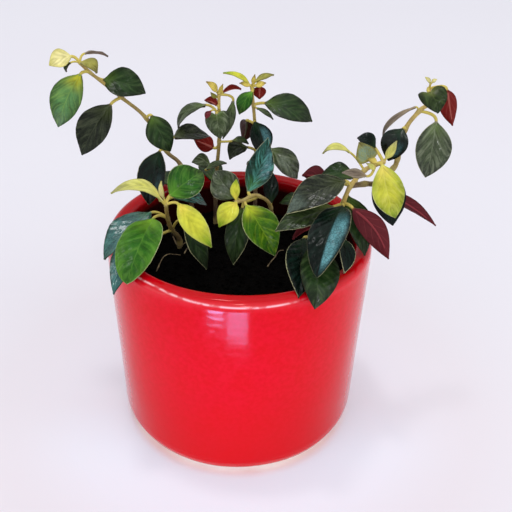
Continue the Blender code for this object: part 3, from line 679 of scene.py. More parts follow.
def makeLeaf(store, joint, leaf, seed):
    draw, form = random.Random(seed), leafForm
    _, base, tip, width, facing, arch, look = leaf[:7]
    extra = leaf[7] if len(leaf) > 7 else {}
    joint, base, tip, facing = (np.array(value, float) for value in (joint, base, tip, facing))
    slotNumber = leafOrder.index(look)
    span = tip - base
    length = float(np.linalg.norm(span))
    upward = unit(facing - span * (facing @ span) / (span @ span))
    sideways = unit(np.cross(span, upward))
    crown = (base + tip) / 2 + upward * arch * 2
    stalk = min(form["petioleMost"], form["petioleLeast"] + form["petiolePerWidth"] * width)

    rows = int(np.clip(length / form["pointGap"], *form["rows"]))
    t = np.linspace(0.0, 1.0, rows) ** form["rowPower"]
    tt = t[:, None]
    x = columnPlaces(width)[None, :]
    reach = np.abs(x)
    centre = curvePoint(base, crown, tip, t)
    along = curveAlong(base, crown, tip, t)
    normal = np.cross(sideways, along)
    size = min(1.0, width / form["fullWidth"])

    # small differences that make each leaf its own
    lean = draw.uniform(-form["lean"], form["lean"])
    sway = extra.get("sway", draw.uniform(-form["sway"], form["sway"])) * length
    curl = draw.uniform(*form["curl"]) * size
    phase = [draw.uniform(0.0, 6.28) for _ in range(3)]

    widest, outline = extra.get("widest", form["widest"]), extra.get("outline", form["outline"])
    half = 0.5 * width * np.sin(np.pi * np.clip(t, 0.0, 1.0) ** widest) ** outline
    half = np.maximum(half, stalk * (1.0 - form["stalkThins"] * t))[:, None]
    half = half * (1.0 + lean * np.sign(x) * np.sin(np.pi * t)[:, None])
    swell = smoothStep(t, 0.0, form["fullAt"])[:, None]

    # veins: the blade is raised between them and sunk along them
    pairs = max(3.0, round(length / form["veinGap"]))
    swept = form["sweep"] * reach * (0.6 + 0.4 * half / (0.5 * width))
    veinPhase = tt * pairs - swept + form["veinShift"] * (x > 0)
    veinPhase = veinPhase + 0.16 * np.sin(tt * 11.0 + phase[2]) * reach + 0.12 * np.sin(x * 5.0 + phase[0])
    nearest = np.abs(veinPhase - np.round(veinPhase))
    inner = 1.0 - smoothStep(reach, *form["veinSides"])
    started = smoothStep(tt, *form["veinStart"]) * (1.0 - smoothStep(tt, *form["veinEnd"]))
    sideVein = np.exp(-(nearest / form["veinWide"]) ** 2) * inner * started
    puff = smoothStep(nearest, 0.0, 0.45) * inner * started * smoothStep(reach, 0.02, 0.3)
    valley = np.exp(-(x * half / 0.5) ** 2) * (1.0 - 0.6 * tt)

    # ruffled sides, fold along the midrib and fine ripples
    wave = form["wave"] * width * smoothStep(reach, *form["waveSides"]) * (
        np.sin(tt * 9.0 + phase[0] + 1.2 * np.sign(x)) + 0.5 * np.sin(tt * 17.0 + phase[1]))
    wave = wave * smoothStep(tt, *form["waveStart"]) * (1.0 - smoothStep(tt, *form["waveEnd"]))
    height = form["fold"] * half * swell * reach ** form["foldPower"]
    height = height + size * (form["puff"] * puff - form["groove"] * sideVein)
    height = height - swell * form["midribGroove"] * size * valley
    acrossMm, alongMm = x * half, tt * length
    ripple = (np.sin(alongMm * 1.15 + acrossMm * 0.5 + phase[1])
              * np.sin(acrossMm * 1.3 - alongMm * 0.35 + phase[2])
              + 0.6 * np.sin(alongMm * 2.1 - acrossMm * 1.7 + phase[0]))
    height = height + form["ripple"] * size * ripple * started * smoothStep(reach, *form["rippleSides"])
    height = height + wave - form["edgeDip"] * size * smoothStep(reach, *form["dipSides"])

    def curlDrop(places):
        return curl * np.clip((places - form["curlFrom"]) / (1.0 - form["curlFrom"]), 0.0, 1.0) ** 2

    droop = -curlDrop(t)[:, None]
    shift = sway * np.sin(np.pi * t)[:, None]
    # the two lobes of a heart-shaped blade reach back past its petiole
    lobes = (-extra.get("heart", 0.0) * np.sin(np.pi * np.minimum(reach, form["lobeReach"])
                                               / (2 * form["lobeReach"])) ** 2 * (1.0 - tt) ** 3 * swell)

    def surface(offset):
        return (centre[:, None, :] + sideways[None, None, :] * (x * half + shift)[..., None]
                + along[:, None, :] * lobes[..., None]
                + normal[:, None, :] * (height + droop + offset)[..., None])

    thick = form["thick"] * (1.0 - reach ** form["thickPower"]) + form["edgeThick"]
    thick = thick * (0.75 + 0.25 * size) * swell + 2.0 * stalk * 0.8 * (1.0 - swell)
    lift = form["lift"] * (1.0 - 0.25 * reach)
    top = surface(np.broadcast_to(lift, height.shape))
    bottom = surface(lift - thick
                     - 2.0 * size * (form["puff"] * puff * 0.3 - form["groove"] * sideVein * 0.2))

    # painted sheen: where a patch of the upper face is painted pale as a highlight
    paintedSheenMask = 0.0
    if "bloom" in extra:
        fromX, toX, fromT, toT, amount = extra["bloom"]
        paintedSheenMask = (amount * smoothStep(x, fromX, fromX + 0.35) * (1.0 - smoothStep(x, toX - 0.12, toX))
                     * smoothStep(tt, fromT, fromT + 0.25) * (1.0 - smoothStep(tt, toT - 0.2, toT)))
    right, left = extra.get("edges", form["edges"])
    margin = np.where(x > 0, right, left) * (0.7 + 0.3 * np.sin(tt * 7.0 + phase[0]))
    values = {"bladeAlong": tt, "bladeAcross": x, "bladeRim": (1.0 - reach) * half, "veinPhase": veinPhase,
              "bladeUpper": 1.0, "bladeBloom": paintedSheenMask, "bladeMargin": margin,
              "bladeGloss": extra.get("gloss", form["gloss"])}
    upperNumbers = putGrid(store, top, values, slotNumber)
    values.update(bladeUpper=0.0, bladeBloom=0.0, bladeGloss=form["gloss"])
    lowerNumbers = putGrid(store, bottom, values, slotNumber, flip=True)
    # side walls between the two faces
    for wall, flip in ((np.s_[:, 0], False), (np.s_[:, -1], True), (np.s_[0], True), (np.s_[-1], False)):
        upper, lower = upperNumbers[wall], lowerNumbers[wall]
        putQuads(store, np.stack([upper[:-1], upper[1:], lower[1:], lower[:-1]], axis=-1), slotNumber, flip)

    # petiole, which runs on under the blade as its raised midrib
    lead = base - unit(crown - base) * np.linalg.norm(base - joint) * form["petioleBend"]
    s = np.linspace(0.0, 1.0, form["petioleRows"])
    path = curvePoint(joint, lead, base, s)
    pathAlong = curveAlong(joint, lead, base, s)
    level = unit(sideways[None, :] - pathAlong * (pathAlong @ sideways)[:, None])
    ribT = np.linspace(form["ribFrom"], form["ribTo"], form["ribRows"])
    rib = curvePoint(base, crown, tip, ribT)
    ribUp = np.cross(sideways, curveAlong(base, crown, tip, ribT))
    ribShift = sway * np.sin(np.pi * ribT)
    sink = form["lift"] - (form["thick"] + form["edgeThick"]) * (0.75 + 0.25 * size) * 0.85
    rib = (rib + sideways * ribShift[:, None]
           + ribUp * (sink * smoothStep(ribT, 0.0, 0.2) - 0.2 * size - curlDrop(ribT))[:, None])
    path = np.vstack([path, rib])
    above = np.vstack([np.cross(level, pathAlong), ribUp])
    level = np.vstack([level, np.broadcast_to(sideways, rib.shape)])
    widths = np.concatenate([stalk * (1.12 - 0.12 * s), stalk * (0.9 - 0.62 * ribT)])
    depths = np.concatenate([0.85 * stalk * (1.1 - 0.1 * s), stalk * (0.8 - 0.6 * ribT)])
    turns = circleTurns(form["petioleSides"])
    tube = (path[:, None, :] + level[:, None, :] * (widths[:, None] * np.cos(turns))[..., None]
            + above[:, None, :] * (depths[:, None] * np.sin(turns))[..., None])
    tubeAlong = np.concatenate([s - 1.0, ribT])[:, None]
    putTube(store, tube, {"bladeAlong": tubeAlong, "bladeRim": form["noRim"]}, slotNumber)
    capAlong = 0.85
    cap = path[-1] + curveAlong(base, crown, tip, [capAlong])[0] * 0.3
    putTube(store, np.vstack([tube[-1:], np.broadcast_to(cap, (1, form["petioleSides"], 3))]),
            {"bladeAlong": capAlong, "bladeRim": form["noRim"]}, slotNumber)


# lengths in millimetres, scales as shares of the stem's radius
stemForm = {
    "step": 1.1, "sides": 14, "tipScale": 0.62, "branchScale": 0.85, "end": 1.0, "nodeSwell": 0.28,
    "nodeLength": 1.5, "ripple": 0.04,
    # fine slivers on the young part of a stem, from a share of its length on
    "hairs": {"perMillimetre": 5.0, "from": 0.3, "reach": 0.7, "thin": 0.045},
}


def smoothRoute(points, pace):
    corners = [Vector(point) for point in points]
    corners.append(2 * corners[-1] - corners[-2])
    result, marks = [corners[0], corners[0].lerp(corners[1], 0.5), corners[1]], [0, 2]
    for index in range(1, len(corners) - 2):
        before, start, end, after = corners[index - 1:index + 3]
        steps = max(1, round((end - start).length / pace))
        for step in range(1, steps + 1):
            t = step / steps
            result.append(0.5 * (2 * start + (end - before) * t
                                 + (2 * before - 5 * start + 4 * end - after) * t ** 2
                                 + (3 * start - before - 3 * end + after) * t ** 3))
        marks.append(len(result) - 1)
    return result, marks


def tubeFrames(path, side):
    # each point of a path, with two directions across it there and one along it
    frames = []
    for index, point in enumerate(path):
        along = path[min(index + 1, len(path) - 1)] - path[max(index - 1, 0)]
        side = (side - side.project(along)).normalized()
        across = along.cross(side).normalized()
        frames.append((point, side, across, along.normalized()))
    return frames


def makeStemTube(store, points, radius, startScale, ages, slotNumber):
    form = stemForm
    path, marks = smoothRoute(points, form["step"])
    for part in (0.7, 0.3):
        path.append(path[-1] + (path[-1] - path[-2]).normalized() * form["end"] * part)
    places = np.array([tuple(point) for point in path])
    travelled = np.concatenate([[0.0], np.cumsum(np.linalg.norm(np.diff(places, axis=0), axis=1))])
    share = travelled / travelled[-1]
    node = np.zeros(len(path))
    for mark in marks[1:]:
        node = np.maximum(node, np.exp(-((travelled - travelled[mark]) / form["nodeLength"]) ** 2))
    sizes = radius * (startScale + (form["tipScale"] - startScale) * share)
    sizes = sizes * (1.0 + form["nodeSwell"] * node)
    sizes[-2:] *= (0.8, 0.35)
    turns = [2.0 * math.pi * corner / form["sides"] for corner in range(form["sides"])]
    frames = tubeFrames(path, Vector((1.0, 0.0, 0.0)))
    rings = []
    for index, (point, side, across, _) in enumerate(frames):
        ring = []
        for turn in turns:
            ripple = 1.0 + form["ripple"] * noise.noise(Vector((turn, travelled[index] * 0.5, radius * 9)))
            outward = side * math.cos(turn) + across * math.sin(turn)
            ring.append(tuple(point + outward * sizes[index] * ripple))
        rings.append(ring)
    rings = np.array(rings)
    age = ages[0] + (ages[1] - ages[0]) * share
    putTube(store, rings, {"stemAge": age[:, None], "stemNode": node[:, None]}, slotNumber)
    for row, flip in ((0, True), (-1, False)):
        fan = np.stack([rings[row], np.broadcast_to(places[row], rings[row].shape)])
        putGrid(store, fan, {"stemAge": age[row]}, slotNumber, closedAcross=True, flip=flip)
    return frames, sizes, share


def addHairs(store, frames, sizes, share, seed, slotNumber):
    draw, hairs = random.Random(seed), stemForm["hairs"]
    count = hairs["perMillimetre"] * stemForm["step"]
    for index in range(len(frames) - 2):
        if share[index] < hairs["from"]:
            continue
        point, side, across, along = frames[index]
        for _ in range(int(count) + (draw.random() < count % 1)):
            turn = draw.uniform(0.0, 2.0 * math.pi)
            outward = side * math.cos(turn) + across * math.sin(turn)
            around = across * math.cos(turn) - side * math.sin(turn)
            root = point + along * draw.uniform(0.0, 1.0) + outward * sizes[index] * 0.85
            lean = (outward + along * draw.uniform(0.1, 0.7) + around * draw.uniform(-0.4, 0.4)).normalized()
            tip = root + lean * draw.uniform(0.5, 1.0) * hairs["reach"]
            ring = [tuple(root + way * hairs["thin"]) for way in (around, along, -around)]
            putTube(store, [ring, [tuple(tip)] * 3], {"stemAge": 1.0}, slotNumber)


def makeLeafyStem(name, layout, seed):
    store = newStore()
    routes = layout["routes"]
    joints = [point for route in routes for point in route]
    barkSlot, hairSlot = len(leafOrder), len(leafOrder) + 1
    for number, route in enumerate(routes):
        startScale = stemForm["branchScale"] if number else 1.0
        tube = makeStemTube(store, route, layout["radius"], startScale, layout["ages"], barkSlot)
        addHairs(store, *tube, seed + number, hairSlot)
    for number, leaf in enumerate(layout["leaves"]):
        makeLeaf(store, joints[leaf[0]], leaf, seed * 100 + number)
    materials = [leafMaterials[look] for look in leafOrder] + [barkMaterial, hairMaterial]
    piece = finishStore(store, "leafy_" + name, materials)
    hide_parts(name)
    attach(piece, "root")
    print(piece.name, len(piece.data.polygons), "faces")
    return piece


leafyStems = [makeLeafyStem(name, layout, seed)
              for seed, (name, layout) in enumerate(stemLayout.items(), start=1)]
print("leafy stems made")


potForm = {
    "height": 107.5, "rimRadius": 65.0, "baseRadius": 60.0, "footRounding": 12.5, "lipOuter": 4.3,
    "lipInner": 3.3, "lipThick": 8.6, "wall": 9.0, "floor": 10.0, "floorRounding": 9.0, "sides": 240,
    "arcSteps": 22, "stretch": 1.6, "throwing": 0.05, "ringPace": 1.7, "dent": 0.22, "evenWithin": 20.0,
    "rimWave": 0.25, "waveHeights": (70.0, 105.0), "frontRise": 3.6, "riseDirection": -98.0,
    "risePower": 1.5, "riseStart": 70.0, "swell": 0.75, "swellDirection": 158.0, "swellPower": 8,
    "swellHeights": (85.0, 104.0), "lipStart": 100.0, "insideStep": 2.4,
    # radius and width of the lip's two edges, and the heights over which edges, the painted shade on the
    # crest and the dark inside (bare clay with painted shade) begin
    "lip": {
        "outer": 64.2, "outerWide": 1.3, "inner": 57.2, "innerWide": 1.2, "innerShare": 0.4,
        "edgeHeights": (102.0, 105.0), "crestHeights": (104.0, 107.0), "insideShadeHeights": (106.5, 101.5),
    },
    # the painted highlight line on the lip, in degrees around the pot and up the lip
    "line": {
        "middle": -88.0, "spread": 38.0, "least": 22.0, "climb": 36.0, "start": (-146.0, -134.0),
        "end": (-62.0, -74.0), "thin": 5.0,
    },
}
# glaze tones: the foot tone is painted shade, the crest's dark red is painted shade, the inside is bare clay
# painted dark as shade, and the pale pink one is a painted highlight line on the lip
glazeFinish = {
    "red": tone(208, 1, 20), "deep": tone(207, 1, 13), "thin": tone(236, 15, 47),
    "clay": tone(250, 226, 200), "inside": tone(40, 10, 8), "rimShadeTone": tone(158, 2, 4),
    "foot": tone(196, 1, 6), "lipHighlight": tone(255, 205, 212), "thinShow": 0.3, "lipHighlightShow": 0.85,
    "footShadeDepth": 0.8, "footShadeHeights": (6.0, 80.0), "clayHeights": (2.6, 3.6), "clayVary": 1.2, "rough": 0.1,
    "roughVary": 0.08, "clayRough": 0.5, "edgeCoat": 0.4, "lipCoat": 0.7, "ringScale": 60.0, "bump": 0.05,
    "bumpStrength": 0.6,
}


def potRadius(height, inside=0.0):
    lean = (potForm["rimRadius"] - potForm["baseRadius"]) / potForm["height"]
    return potForm["baseRadius"] + lean * height - inside


# how strongly a place around the pot faces a direction given in degrees
def facingShare(turn, direction, power):
    return max(0.0, math.cos(turn - math.radians(direction))) ** power


# the hand-turned rim stands a little higher towards the front
def frontRise(turn, height):
    facing = facingShare(turn, potForm["riseDirection"], potForm["risePower"])
    return potForm["frontRise"] * facing * shareOf(height, potForm["riseStart"],
                                                   potForm["height"] - potForm["lipThick"])


def arcPoints(radius, height, rounding, start, end):
    angles = np.radians(np.linspace(start, end, potForm["arcSteps"] + 1))
    return [(radius + rounding * math.cos(a), height + rounding * math.sin(a)) for a in angles]


def potSection():
    form = potForm
    lean = math.degrees(math.atan2(form["rimRadius"] - form["baseRadius"], form["height"]))
    foot = arcPoints(potRadius(form["footRounding"]) - form["footRounding"], form["footRounding"],
                     form["footRounding"], -90, -lean)
    outerTop = form["height"] - form["lipOuter"]
    lipOuter = arcPoints(potRadius(outerTop) - form["lipOuter"], outerTop, form["lipOuter"], -lean, 90)
    innerTop = form["height"] - form["lipInner"]
    lipInner = arcPoints(form["rimRadius"] - form["lipThick"] + form["lipInner"], innerTop, form["lipInner"],
                         90, 180)
    underLip = form["height"] - form["lipThick"]
    floorTop = form["floor"] + form["floorRounding"]
    floor = arcPoints(potRadius(floorTop, form["wall"]) - form["floorRounding"], floorTop,
                      form["floorRounding"], 0, -90)
    corners = [(0.0, 0.0)] + foot + lipOuter + lipInner + [(potRadius(underLip, form["wall"]), underLip)]
    corners += floor + [(0.0, form["floor"])]
    section = [corners[0]]
    for (r0, z0), (r1, z1) in zip(corners, corners[1:]):
        steps = max(1, round(math.hypot(r1 - r0, z1 - z0) / form["stretch"]))
        section += [(r0 + (r1 - r0) * k / steps, z0 + (z1 - z0) * k / steps) for k in range(1, steps + 1)]
    return section


def makeGlazeMaterial():
    finish = glazeFinish
    material, tree, shader = newMaterial("red_glaze", IOR=1.22, Coat_Roughness=0.08)
    place = objectPlace(tree)
    height = splitPlace(tree, place)["Z"]
    clouds = mottled(tree, 15.0, 5.0)
    fine = mottled(tree, 2.2, 3.0)
    pits = useGroup(tree, pebbleGroup, Size=4.0)
    lip = readAttribute(tree, "lipEdge")
    # painted shade: the glaze is painted darker towards the foot
    footShade = rampedMm(tree, height, finish["footShadeHeights"], finish["footShadeDepth"], 0.0)
    # a painted highlight: a pale line along the outer edge of the lip
    patchy = ramped(tree, mottled(tree, 6.0, 3.0), 0.3, 0.7, 0.25, 1.0)
    lipHighlight = times(tree, readAttribute(tree, "lipHighlightLine"), patchy)
    # bare clay at the foot
    foot = rampedMm(tree, timesPlus(tree, clouds, finish["clayVary"] * mm, height), finish["clayHeights"],
                    1.0, 0.0)
    colour = layered(tree, finish["deep"], (clouds, finish["red"]),
                     (fine, finish["thin"], finish["thinShow"]), (footShade, finish["foot"]),
                     (readAttribute(tree, "lipTopShade"), finish["rimShadeTone"]),
                     (lip, finish["thin"], finish["thinShow"]), (lipHighlight, finish["lipHighlight"], finish["lipHighlightShow"]),
                     (readAttribute(tree, "bareInsideShade"), finish["inside"]), (foot, finish["clay"]))
    rough = timesPlus(tree, fine, finish["roughVary"], finish["rough"])
    rough = timesPlus(tree, foot, finish["clayRough"], rough)
    facing = addNode(tree, "LayerWeight", {"Blend": 0.5}).outputs["Facing"]
    edgeCoat = ramped(tree, facing, 0.55, 0.98, 0.0, finish["edgeCoat"])
    coat = timesPlus(tree, lip, finish["lipCoat"], edgeCoat, clamp=True)
    fillSockets(tree, shader, {"Base Color": colour, "Roughness": rough, "Coat Weight": coat})
    rings = addNode(tree, "TexWave", {"Vector": place, "Scale": finish["ringScale"], "Distortion": 5.0,
                                      "Detail": 2.0, "Detail Scale": 1.5}, bands_direction="Z").outputs["Fac"]
    relief = timesPlus(tree, pits["Height"], 0.4, times(tree, fine, 0.3))
    addBump(tree, shader, timesPlus(tree, rings, 0.35, relief), finish["bump"], finish["bumpStrength"])
    return material


# how much of the painted highlight line there is at a place: it runs along the front, a little higher at its
# ends
def lipHighlightLine(turn, radius, height):
    form = potForm["line"]
    turned = math.degrees(turn) - (360.0 if turn > math.pi else 0.0)
    lipCentre = potRadius(potForm["height"] - potForm["lipOuter"]) - potForm["lipOuter"]
    climb = math.degrees(math.atan2(height - potForm["height"] + potForm["lipOuter"], radius - lipCentre))
    wanted = form["least"] + form["climb"] * min(1.0, ((turned - form["middle"]) / form["spread"]) ** 2)
    ends = shareOf(turned, *form["start"]) * shareOf(turned, *form["end"])
    return math.exp(-((climb - wanted) / form["thin"]) ** 2) * ends if height > potForm["lipStart"] else 0.0


def potPoint(turn, radius, height):
    form = potForm
    place = Vector((math.cos(turn) * 2.2, math.sin(turn) * 2.2, height * 0.03))
    dent = form["dent"] * noise.noise(place)
    throwing = form["throwing"] * math.sin(height * form["ringPace"] + 2.0 * noise.noise(place * 0.7) + turn)
    grip = min(1.0, radius / form["evenWithin"])
    swelling = facingShare(turn, form["swellDirection"], form["swellPower"])
    swelling *= shareOf(height, *form["swellHeights"])
    around = radius + (dent + throwing) * grip + form["swell"] * swelling
    lift = form["rimWave"] * noise.noise(Vector((math.cos(turn) * 1.6, math.sin(turn) * 1.6, 7.0)))
    lift *= shareOf(height, *form["waveHeights"])
    lift += frontRise(turn, height)
    return (around * math.cos(turn), around * math.sin(turn), height + lift)


def makePot():
    rings, insideShade, lip, top, line = [], [], [], [], []
    inside, form = False, potForm["lip"]
    turns = circleTurns(potForm["sides"])
    turnInside = potForm["rimRadius"] - potForm["lipThick"] + potForm["insideStep"]
    for radius, height in potSection():
        inside = inside or (height > potForm["lipStart"] and radius < turnInside)
        rings.append([potPoint(turn, radius, height) for turn in turns])
        # painted shade inside: below the lip the inner wall is bare clay painted dark as shade
        deepness = shareOf(height, *form["insideShadeHeights"])
        edge = (math.exp(-((radius - form["outer"]) / form["outerWide"]) ** 2)
                + form["innerShare"] * math.exp(-((radius - form["inner"]) / form["innerWide"]) ** 2))
        crest = 1.0 - deepness if inside else shareOf(height, *form["crestHeights"])
        insideShade.append(deepness if inside else 0.0)
        lip.append(edge * shareOf(height, *form["edgeHeights"]))
        # painted shade on the crest: darkest at the back and at the right
        top.append([crest * min(1.0, 0.75 + 0.25 * math.sin(turn) + 0.2 * math.cos(turn)) for turn in turns])
        line.append([0.0 if inside else lipHighlightLine(turn, radius, height) for turn in turns])
    points = np.array(rings)
    rows, columns = points.shape[:2]
    faces = gridFaces(np.arange(rows * columns).reshape(rows, columns), True)
    mesh = bpy.data.meshes.new("glazed_pot")
    mesh.from_pydata((points.reshape(-1, 3) * mm).tolist(), [], faces.tolist())
    for label, values in (("bareInsideShade", np.repeat(insideShade, columns)), ("lipEdge", np.repeat(lip, columns)),
                          ("lipTopShade", top), ("lipHighlightLine", line)):
        addValues(mesh, label, values)
    mesh.shade_smooth()
    mesh.materials.append(makeGlazeMaterial())
    piece = addPiece("glazed_pot", mesh)
    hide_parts("pot")
    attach(piece, "root")
    return piece


glazedPot = makePot()
print("pot turned")


soilForm = {
    "level": 87.0, "swell": 0.8, "rings": 60, "sides": 180, "rough": 0.9, "gap": 0.35, "floorGap": 0.4,
    "wallHeights": (78.0, 60.0, 40.0, 22.0), "footInset": 3.2, "footRise": 3.0, "footRadius": 44.0,
    # the cross-sections of a crumb are pairs of height and width
    "crumbs": {
        "count": 900, "seed": 11, "least": 0.35, "most": 1.5, "fromWall": 1.5, "raised": 0.2, "sides": 7,
        "flat": 0.8, "sections": ((-1.0, 0.0), (-0.6, 0.75), (0.05, 1.0), (0.65, 0.7), (1.0, 0.0)),
    },
}
soilFinish = {
    "dark": tone(2, 2, 2), "brown": tone(7, 5, 4), "grit": tone(34, 28, 22), "gritFrom": 0.75,
    "gritShow": 0.35, "rough": 0.65, "roughVary": 0.3, "bump": 0.5,
}
# thread roots: points as x, y and height over the soil
rootLines = [
    [(-41, -7, 0.2), (-40, -2, 1.0), (-38.5, 4.5, 1.5), (-36, 7.6, 1.8), (-33, 7.8, 1.6), (-30, 8.4, 0.6)],
    [(-34.8, 22.7, 3.0), (-33, 18.5, 2.0), (-31, 16.4, 1.4), (-28.5, 18, 1.6), (-26, 21, 0.8)],
    [(14, -1, 0.6), (16, 2, 1.9), (18, 6, 1.5), (20, 9.5, 2.1), (22.5, 13, 0.8)],
    [(-28.3, 9.6, 0.4), (-27, 13, 1.4), (-25, 14.4, 2.0), (-23.8, 12, 1.8), (-24.6, 9, 0.8)],
]
rootFinish = {
    "radius": 0.35, "thinning": 0.5, "uneven": 0.2, "sides": 8, "step": 0.8, "pale": tone(150, 132, 96),
    "dirt": tone(70, 54, 38),
}


def soilHeight(x, y):
    radius, turn = math.hypot(x, y), math.atan2(y, x)
    swell = math.cos(radius * 0.16) * math.cos(3.0 * turn + radius * 0.05)
    rough = noise.fractal(Vector((x * 0.22, y * 0.22, 3.0)), 0.7, 2.2, 5)
    return soilForm["level"] + soilForm["swell"] * swell + soilForm["rough"] * rough


def makeSoilMaterial():
    finish = soilFinish
    material, tree, shader = newMaterial("potting_soil", Specular_IOR_Level=0.04)
    fine = mottled(tree, 0.6, 3.0)
    grains = useGroup(tree, pebbleGroup, Size=0.9)
    grit = times(tree, ramped(tree, fine, finish["gritFrom"], 1.0), finish["gritShow"])
    colour = layered(tree, finish["dark"], (mottled(tree, 3.0, 5.0), finish["brown"]), (grit, finish["grit"]))
    rough = timesPlus(tree, fine, finish["roughVary"], finish["rough"])
    fillSockets(tree, shader, {"Base Color": colour, "Roughness": rough})
    addBump(tree, shader, calc(tree, "ADD", grains["Height"], fine), finish["bump"])
    return material


def makeCrumb(store, draw, reach):
    form = soilForm["crumbs"]
    radius, turn = reach * math.sqrt(draw.random()), draw.uniform(0.0, 2.0 * math.pi)
    x, y = radius * math.cos(turn), radius * math.sin(turn)
    size = draw.uniform(form["least"], form["most"]) * draw.uniform(0.5, 1.0)
    centre = Vector((x, y, soilHeight(x, y) + size * form["raised"]))
    turned = Matrix.Rotation(draw.uniform(0.0, 6.28), 3, Vector((draw.random(), draw.random(), 1.0)))
    rows = []
    for height, width in form["sections"]:
        row = []
        for step in range(form["sides"]):
            angle = 2.0 * math.pi * step / form["sides"]
            bulge = size * (draw.uniform(0.75, 1.2) if width else 0.8)
            offset = Vector((width * math.cos(angle), width * math.sin(angle), height * form["flat"])) * bulge
            row.append(tuple(centre + turned @ offset))
        rows.append(row if width else [row[0]] * form["sides"])
    putTube(store, rows)


def makeSoil():
    store, form, wall = newStore(), soilForm, potForm["wall"]
    outer = potRadius(form["level"], wall) - form["gap"]
    turns = circleTurns(form["sides"])
    rings = []
    for ring in range(form["rings"] + 1):
        radius = outer * ring / form["rings"]
        places = [(radius * math.cos(turn), radius * math.sin(turn)) for turn in turns]
        rings.append([(x, y, soilHeight(x, y) if ring else soilHeight(0.0, 0.0)) for x, y in places])
    lower = potForm["floor"] + form["floorGap"]
    section = [(potRadius(z, wall) - form["gap"], z) for z in form["wallHeights"]]
    section += [(potRadius(lower, wall) - form["footInset"], lower + form["footRise"]),
                (form["footRadius"], lower), (0.0, lower)]
    for radius, z in section:
        rings.append([(radius * math.cos(turn), radius * math.sin(turn), z) for turn in turns])
    putTube(store, rings)
    crumbs = form["crumbs"]
    draw = random.Random(crumbs["seed"])
    for _ in range(crumbs["count"]):
        makeCrumb(store, draw, outer - crumbs["fromWall"])
    piece = finishStore(store, "soil_filling", [makeSoilMaterial()], 70.0)
    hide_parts("soil")
    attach(piece, "root")


def makeRoots():
    store, form = newStore(), rootFinish
    for number, line in enumerate(rootLines):
        path, _ = smoothRoute([(x, y, soilHeight(x, y) + lift) for x, y, lift in line], form["step"])
        rings = []
        for index, (point, side, across, _) in enumerate(tubeFrames(path, Vector((0.0, 0.0, 1.0)))):
            thin = form["radius"] * (1.0 - form["thinning"] * index / len(path))
            thin *= 1.0 + form["uneven"] * noise.noise(Vector((index * 0.4, number * 5.0, 0.0)))
            rings.append([tuple(point + (side * math.cos(turn) + across * math.sin(turn)) * thin)
                          for turn in circleTurns(form["sides"])])
        putTube(store, rings)
    material, tree, shader = newMaterial("root_skin", Roughness=0.7)
    clouds = mottled(tree, 2.5, 3.0)
    fillSockets(tree, shader, {"Base Color": blended(tree, clouds, form["dirt"], form["pale"])})
    addBump(tree, shader, clouds, 0.1)
    piece = finishStore(store, "surface_roots", [material])
    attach(piece, "root")


makeSoil()
makeRoots()
print("soil and roots made")


# the floor glows faintly around the pot (lift), warmer in the crease under it
studio = {
    "floor": tone(232, 232, 239), "haze": tone(226, 222, 232), "hazeSize": 400.0, "hazeShow": 0.25,
    "reach": 12.0, "lift": (0.09, 0.2, 0.26, 1.0), "crease": (0.14, 0.1, 0.075, 1.0),
    "liftFades": (60.0, 135.0), "creaseEnds": (56.0, 62.0), "lessFrom": (-50.0, 0.0), "lessBehind": 0.45,
    "skyUp": (0.585, 0.58, 0.6, 1.0), "skyFront": (1.0, 0.985, 1.0, 1.0), "skySpan": (-0.9, 0.1),
    "skyStrength": 1.14,
}
softLights = [
    # name, what it lights, place, aim, width, height, watts, colour where it isn't white
    ("key", "all", (60, -1700, 2500), (0, 0, 60), 260, 260, 2.6),
    ("overhead", "all", (0, 500, 1500), (0, 250, 0), 1500, 1100, 3.4, (0.99, 0.99, 1.0)),
    ("skylight", "all", (-150, 50, 1490), (0, 0, 60), 130, 150, 2.2),
    ("frontPane", "all", (170, -1450, 850), (0, 0, 130), 200, 150, 2.4),
    ("windowLeft", "all", (-950, -330, 400), (0, 0, 90), 380, 480, 0.3, (0.97, 0.99, 1.0)),
    ("windowRight", "all", (950, -330, 400), (0, 0, 90), 380, 480, 1.05, (1.0, 0.98, 1.0)),
    ("lowPaneLeft", "pot", (-51, -176, 4), (-24, -60, 96), 34, 28, 0.15, (0.25, 0.5, 1.0)),
    ("lowPaneRight", "pot", (-4, -162, 4), (-8, -60, 90), 42, 48, 0.14, (0.25, 0.5, 1.0)),
    ("leafPane", "leaves", (-480, 480, 1490), (-50, 0, 110), 260, 300, 3.0, (1.0, 0.97, 1.0)),
]


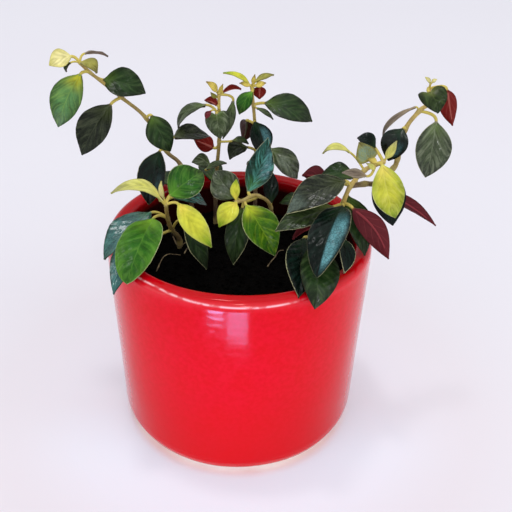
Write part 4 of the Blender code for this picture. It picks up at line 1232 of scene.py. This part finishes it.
# the room is brighter towards the window side in front of the pot
def makeSky():
    world = bpy.data.worlds.new("studio")
    world.use_nodes = True
    tree = world.node_tree
    towards = splitPlace(tree, addNode(tree, "TexCoord").outputs["Generated"])["Y"]
    front = ramped(tree, towards, *studio["skySpan"], 1.0, 0.0)
    colour = blended(tree, front, studio["skyUp"], studio["skyFront"])
    fillSockets(tree, tree.nodes["Background"], {"Color": colour, "Strength": studio["skyStrength"]})
    bpy.context.scene.world = world
    bpy.context.scene.view_settings.view_transform = "Standard"


def makeFloor():
    corners = [(x * studio["reach"], y * studio["reach"], 0) for x, y in ((-1, -1), (1, -1), (1, 1), (-1, 1))]
    mesh = bpy.data.meshes.new("studio_floor")
    mesh.from_pydata(corners, [], [(0, 1, 2, 3)])
    material, tree, shader = newMaterial("floor_paint", Roughness=0.6, Specular_IOR_Level=0.2,
                                         Emission_Strength=1.0)
    haze = times(tree, mottled(tree, studio["hazeSize"], 1.0), studio["hazeShow"])
    place = objectPlace(tree)
    away = addNode(tree, "VectorMath", {0: place}, operation="LENGTH").outputs["Value"]
    near = rampedMm(tree, away, studio["liftFades"], 1.0, 0.0)
    lift = blended(tree, rampedMm(tree, away, studio["creaseEnds"]), studio["crease"], studio["lift"])
    # less of it beside and behind the pot
    less = rampedMm(tree, splitPlace(tree, place)["Y"], studio["lessFrom"], 1.0, studio["lessBehind"])
    glow = blended(tree, times(tree, near, less), (0.0, 0.0, 0.0, 1.0), lift)
    paint = blended(tree, haze, studio["floor"], studio["haze"])
    fillSockets(tree, shader, {"Base Color": paint, "Emission Color": glow})
    mesh.materials.append(material)
    floor = addPiece("studio_floor", mesh)


def makeStudio(pot, leafyStems):
    makeSky()
    makeFloor()
    receivers = {}
    for label, pieces in (("pot", [pot]), ("leaves", leafyStems)):
        receivers[label] = bpy.data.collections.new("lit_" + label)
        for piece in pieces:
            receivers[label].objects.link(piece)
    for name, lights, place, aim, width, height, watts, *colour in softLights:
        data = bpy.data.lights.new(name, "AREA")
        data.shape = "RECTANGLE"
        data.size, data.size_y = width * mm, height * mm
        data.energy = watts
        data.color = colour[0] if colour else (1.0, 1.0, 1.0)
        lamp = addPiece(name, data)
        lamp.location = Vector(place) * mm
        lamp.rotation_euler = (Vector(aim) - Vector(place)).to_track_quat("-Z", "Y").to_euler()
        lamp.visible_camera = False
        if lights in receivers:
            lamp.light_linking.receiver_collection = receivers[lights]


makeStudio(glazedPot, leafyStems)
print("studio lit")
